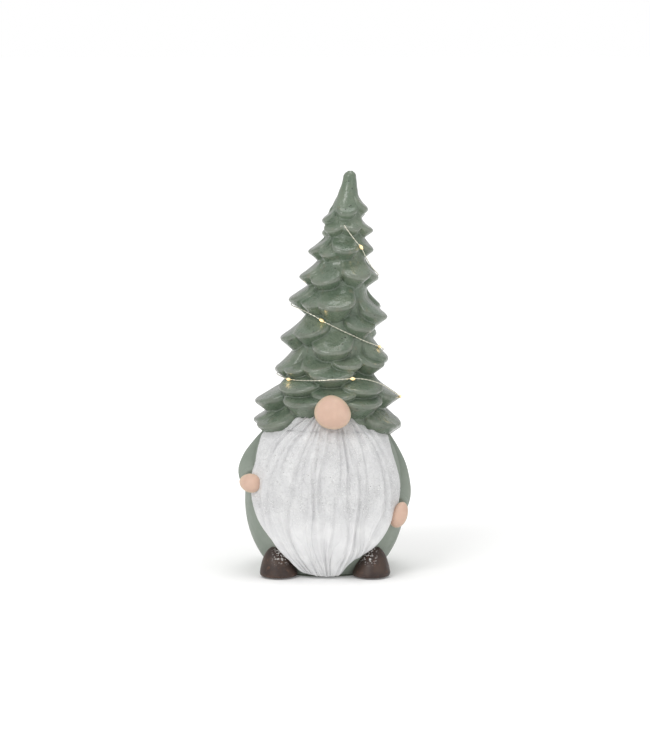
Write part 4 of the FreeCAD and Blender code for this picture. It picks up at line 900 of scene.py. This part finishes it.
def build_beads(path, material):
    """Drops of clear resin, fatter in the middle and drawn out along the wire."""
    tangent, _, _ = path_frames(path)
    unit = ball_grid(24, 24)
    drop = unit * np.array([BEAD_RADIUS, BEAD_RADIUS, BEAD_HALF_LENGTH])
    drop[..., 2] *= 1 + BEAD_DRAWN_OUT * unit[..., 2] ** 4
    shells = []
    for i in bead_places(path):
        turn = np.array(Vector(tangent[i]).to_track_quat("Z", "Y").to_matrix())
        shells.append(closed_tube(drop @ turn.T + path[i] + BEAD_OUTSET * outwards(path[i])))
    verts, faces = joined(shells)
    add_piece("resin_drops", verts, faces, material, ["led_beads", "led_chips"])
    for k, i in enumerate(bead_places(path)):
        add_glow(k, path[i])


# ---------------------------------------------------------------- carried-over CAD nodes
def finish_cad_nodes():
    steel = metal("plated_steel", (0.66, 0.66, 0.64), 0.26)
    black_box = moulded("box_plastic", (0.045, 0.045, 0.045), 0.50, depth_mm=0.05)
    finishes = {
        "hole_plugs": moulded("soft_plug", (0.60, 0.60, 0.57), 0.35),
        "box_sealant": moulded("sealant", (0.66, 0.66, 0.63), 0.40, depth_mm=0.04),
        "splice_sleeve": moulded("shrink_tube", (0.02, 0.02, 0.02), 0.45),
        "lead_red": moulded("red_insulation", (0.45, 0.02, 0.02), 0.38),
        "lead_black": moulded("black_insulation", (0.015, 0.015, 0.015), 0.38),
        "battery_box": black_box,
        "battery_door": moulded("door_plastic", (0.055, 0.055, 0.055), 0.44, depth_mm=0.05),
        "battery_front": metal("cell_jacket", (0.30, 0.34, 0.30), 0.32),
        "battery_back": metal("cell_jacket_back", (0.30, 0.34, 0.30), 0.32),
        "contact_plates": steel,
        "contact_springs": steel,
        "door_screw": steel,
        "board_screws": steel,
        "screw_retainer": moulded("retainer_plastic", (0.72, 0.72, 0.70), 0.42),
        "switch_housing": moulded("switch_plastic", (0.03, 0.03, 0.03), 0.40),
        "switch_knob": moulded("knob_plastic", (0.55, 0.55, 0.52), 0.36),
        "timer_board": moulded("circuit_board", (0.02, 0.14, 0.05), 0.28),
        "board_components": moulded("component_cases", (0.03, 0.03, 0.035), 0.34),
        "felt_ring": felt(),
    }
    for node, material in finishes.items():
        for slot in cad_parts[node].material_slots:
            slot.material = material


# ---------------------------------------------------------------- studio
def build_floor():
    """White paper that fades into the background, and that can be looked through from below."""
    bpy.ops.mesh.primitive_plane_add(size=FLOOR_SIZE)
    floor = bpy.context.object
    floor.name = "floor"
    n = Nodes("floor_paper")
    n.set("Base Color", n.mix(n.noise(60, 2), (0.89, 0.89, 0.885), (0.91, 0.91, 0.905)))
    n.set("Roughness", 0.8)
    away = n.tree.nodes.new("ShaderNodeVectorMath")
    away.operation = "LENGTH"
    n.link(n.place, away.inputs[0])
    n.set("Emission Color", (1, 1, 1, 1))
    glow = n.ramp(away.outputs["Value"], FLOOR_GLOW_FROM, FLOOR_GLOW_TO, FLOOR_GLOW_NEAR, FLOOR_GLOW_FAR)
    n.set("Emission Strength", glow)
    clear = n.tree.nodes.new("ShaderNodeBsdfTransparent")
    choose = n.tree.nodes.new("ShaderNodeMixShader")
    n.link(n.tree.nodes.new("ShaderNodeNewGeometry").outputs["Backfacing"], choose.inputs[0])
    n.link(n.bsdf.outputs[0], choose.inputs[1])
    n.link(clear.outputs[0], choose.inputs[2])
    n.link(choose.outputs[0], n.tree.nodes["Material Output"].inputs["Surface"])
    floor.data.materials.append(n.material)


def area_light(name, location, size, energy):
    light = bpy.data.lights.new(name, "AREA")
    light.shape = "DISK"
    light.size = size
    light.energy = energy
    lamp = bpy.data.objects.new(name, light)
    lamp.location = location
    lamp.rotation_euler = (Vector(LIGHTS_AIM) - Vector(location)).to_track_quat("-Z", "Y").to_euler()
    bpy.context.scene.collection.objects.link(lamp)


def build_lights():
    world = bpy.data.worlds.new("studio")
    bpy.context.scene.world = world
    world.use_nodes = True
    tree = world.node_tree
    background = tree.nodes["Background"]
    background.inputs["Color"].default_value = (1, 1, 1, 1)
    path = tree.nodes.new("ShaderNodeLightPath")
    strength = tree.nodes.new("ShaderNodeMapRange")
    strength.inputs["To Min"].default_value = WORLD_LIGHT
    strength.inputs["To Max"].default_value = WORLD_SEEN
    tree.links.new(path.outputs["Is Camera Ray"], strength.inputs["Value"])
    tree.links.new(strength.outputs["Result"], background.inputs["Strength"])
    for name, place, size, power in LIGHTS:
        area_light(name, place, size, power)


def build_camera():
    height = HEIGHT * MM
    target = Vector((0, 0, CAMERA_AIM * height))
    distance = CAMERA_DISTANCE * height
    tilt = math.radians(CAMERA_TILT)
    data = bpy.data.cameras.new("camera")
    data.lens = data.sensor_width * distance / (VIEW_HEIGHT * height)
    data.clip_start = 0.05
    data.clip_end = 30
    camera = bpy.data.objects.new("camera", data)
    camera.location = target + Vector((0, -math.cos(tilt), math.sin(tilt))) * distance
    camera.rotation_euler = (target - camera.location).to_track_quat("-Z", "Y").to_euler()
    bpy.context.scene.collection.objects.link(camera)
    bpy.context.scene.camera = camera


def main():
    sage, skin, brown = body_glaze(), skin_glaze(), boot_glaze()
    build_hat(hat_glaze())
    build_body(sage)
    build_beard(beard_glaze())
    build_nose(skin)
    build_hand("right_mitten", "right_hand", skin, **RIGHT_HAND)
    build_hand("left_mitten", "left_hand", skin, **LEFT_HAND)
    build_sleeve("right_sleeve_cloth", "right_sleeve", RIGHT_SLEEVE, sage, 11)
    build_sleeve("left_sleeve_cloth", "left_sleeve", LEFT_SLEEVE, sage, 12)
    build_boot("right_boot_round", "right_boot", -1, brown)
    build_boot("left_boot_round", "left_boot", 1, brown)
    path = string_path()
    build_wire(path, metal("silvered_wire", (0.80, 0.78, 0.66), 0.25))
    build_beads(path, lit_resin())
    finish_cad_nodes()
    build_floor()
    build_lights()
    build_camera()
    bpy.context.scene.view_settings.view_transform = "Standard"


main()
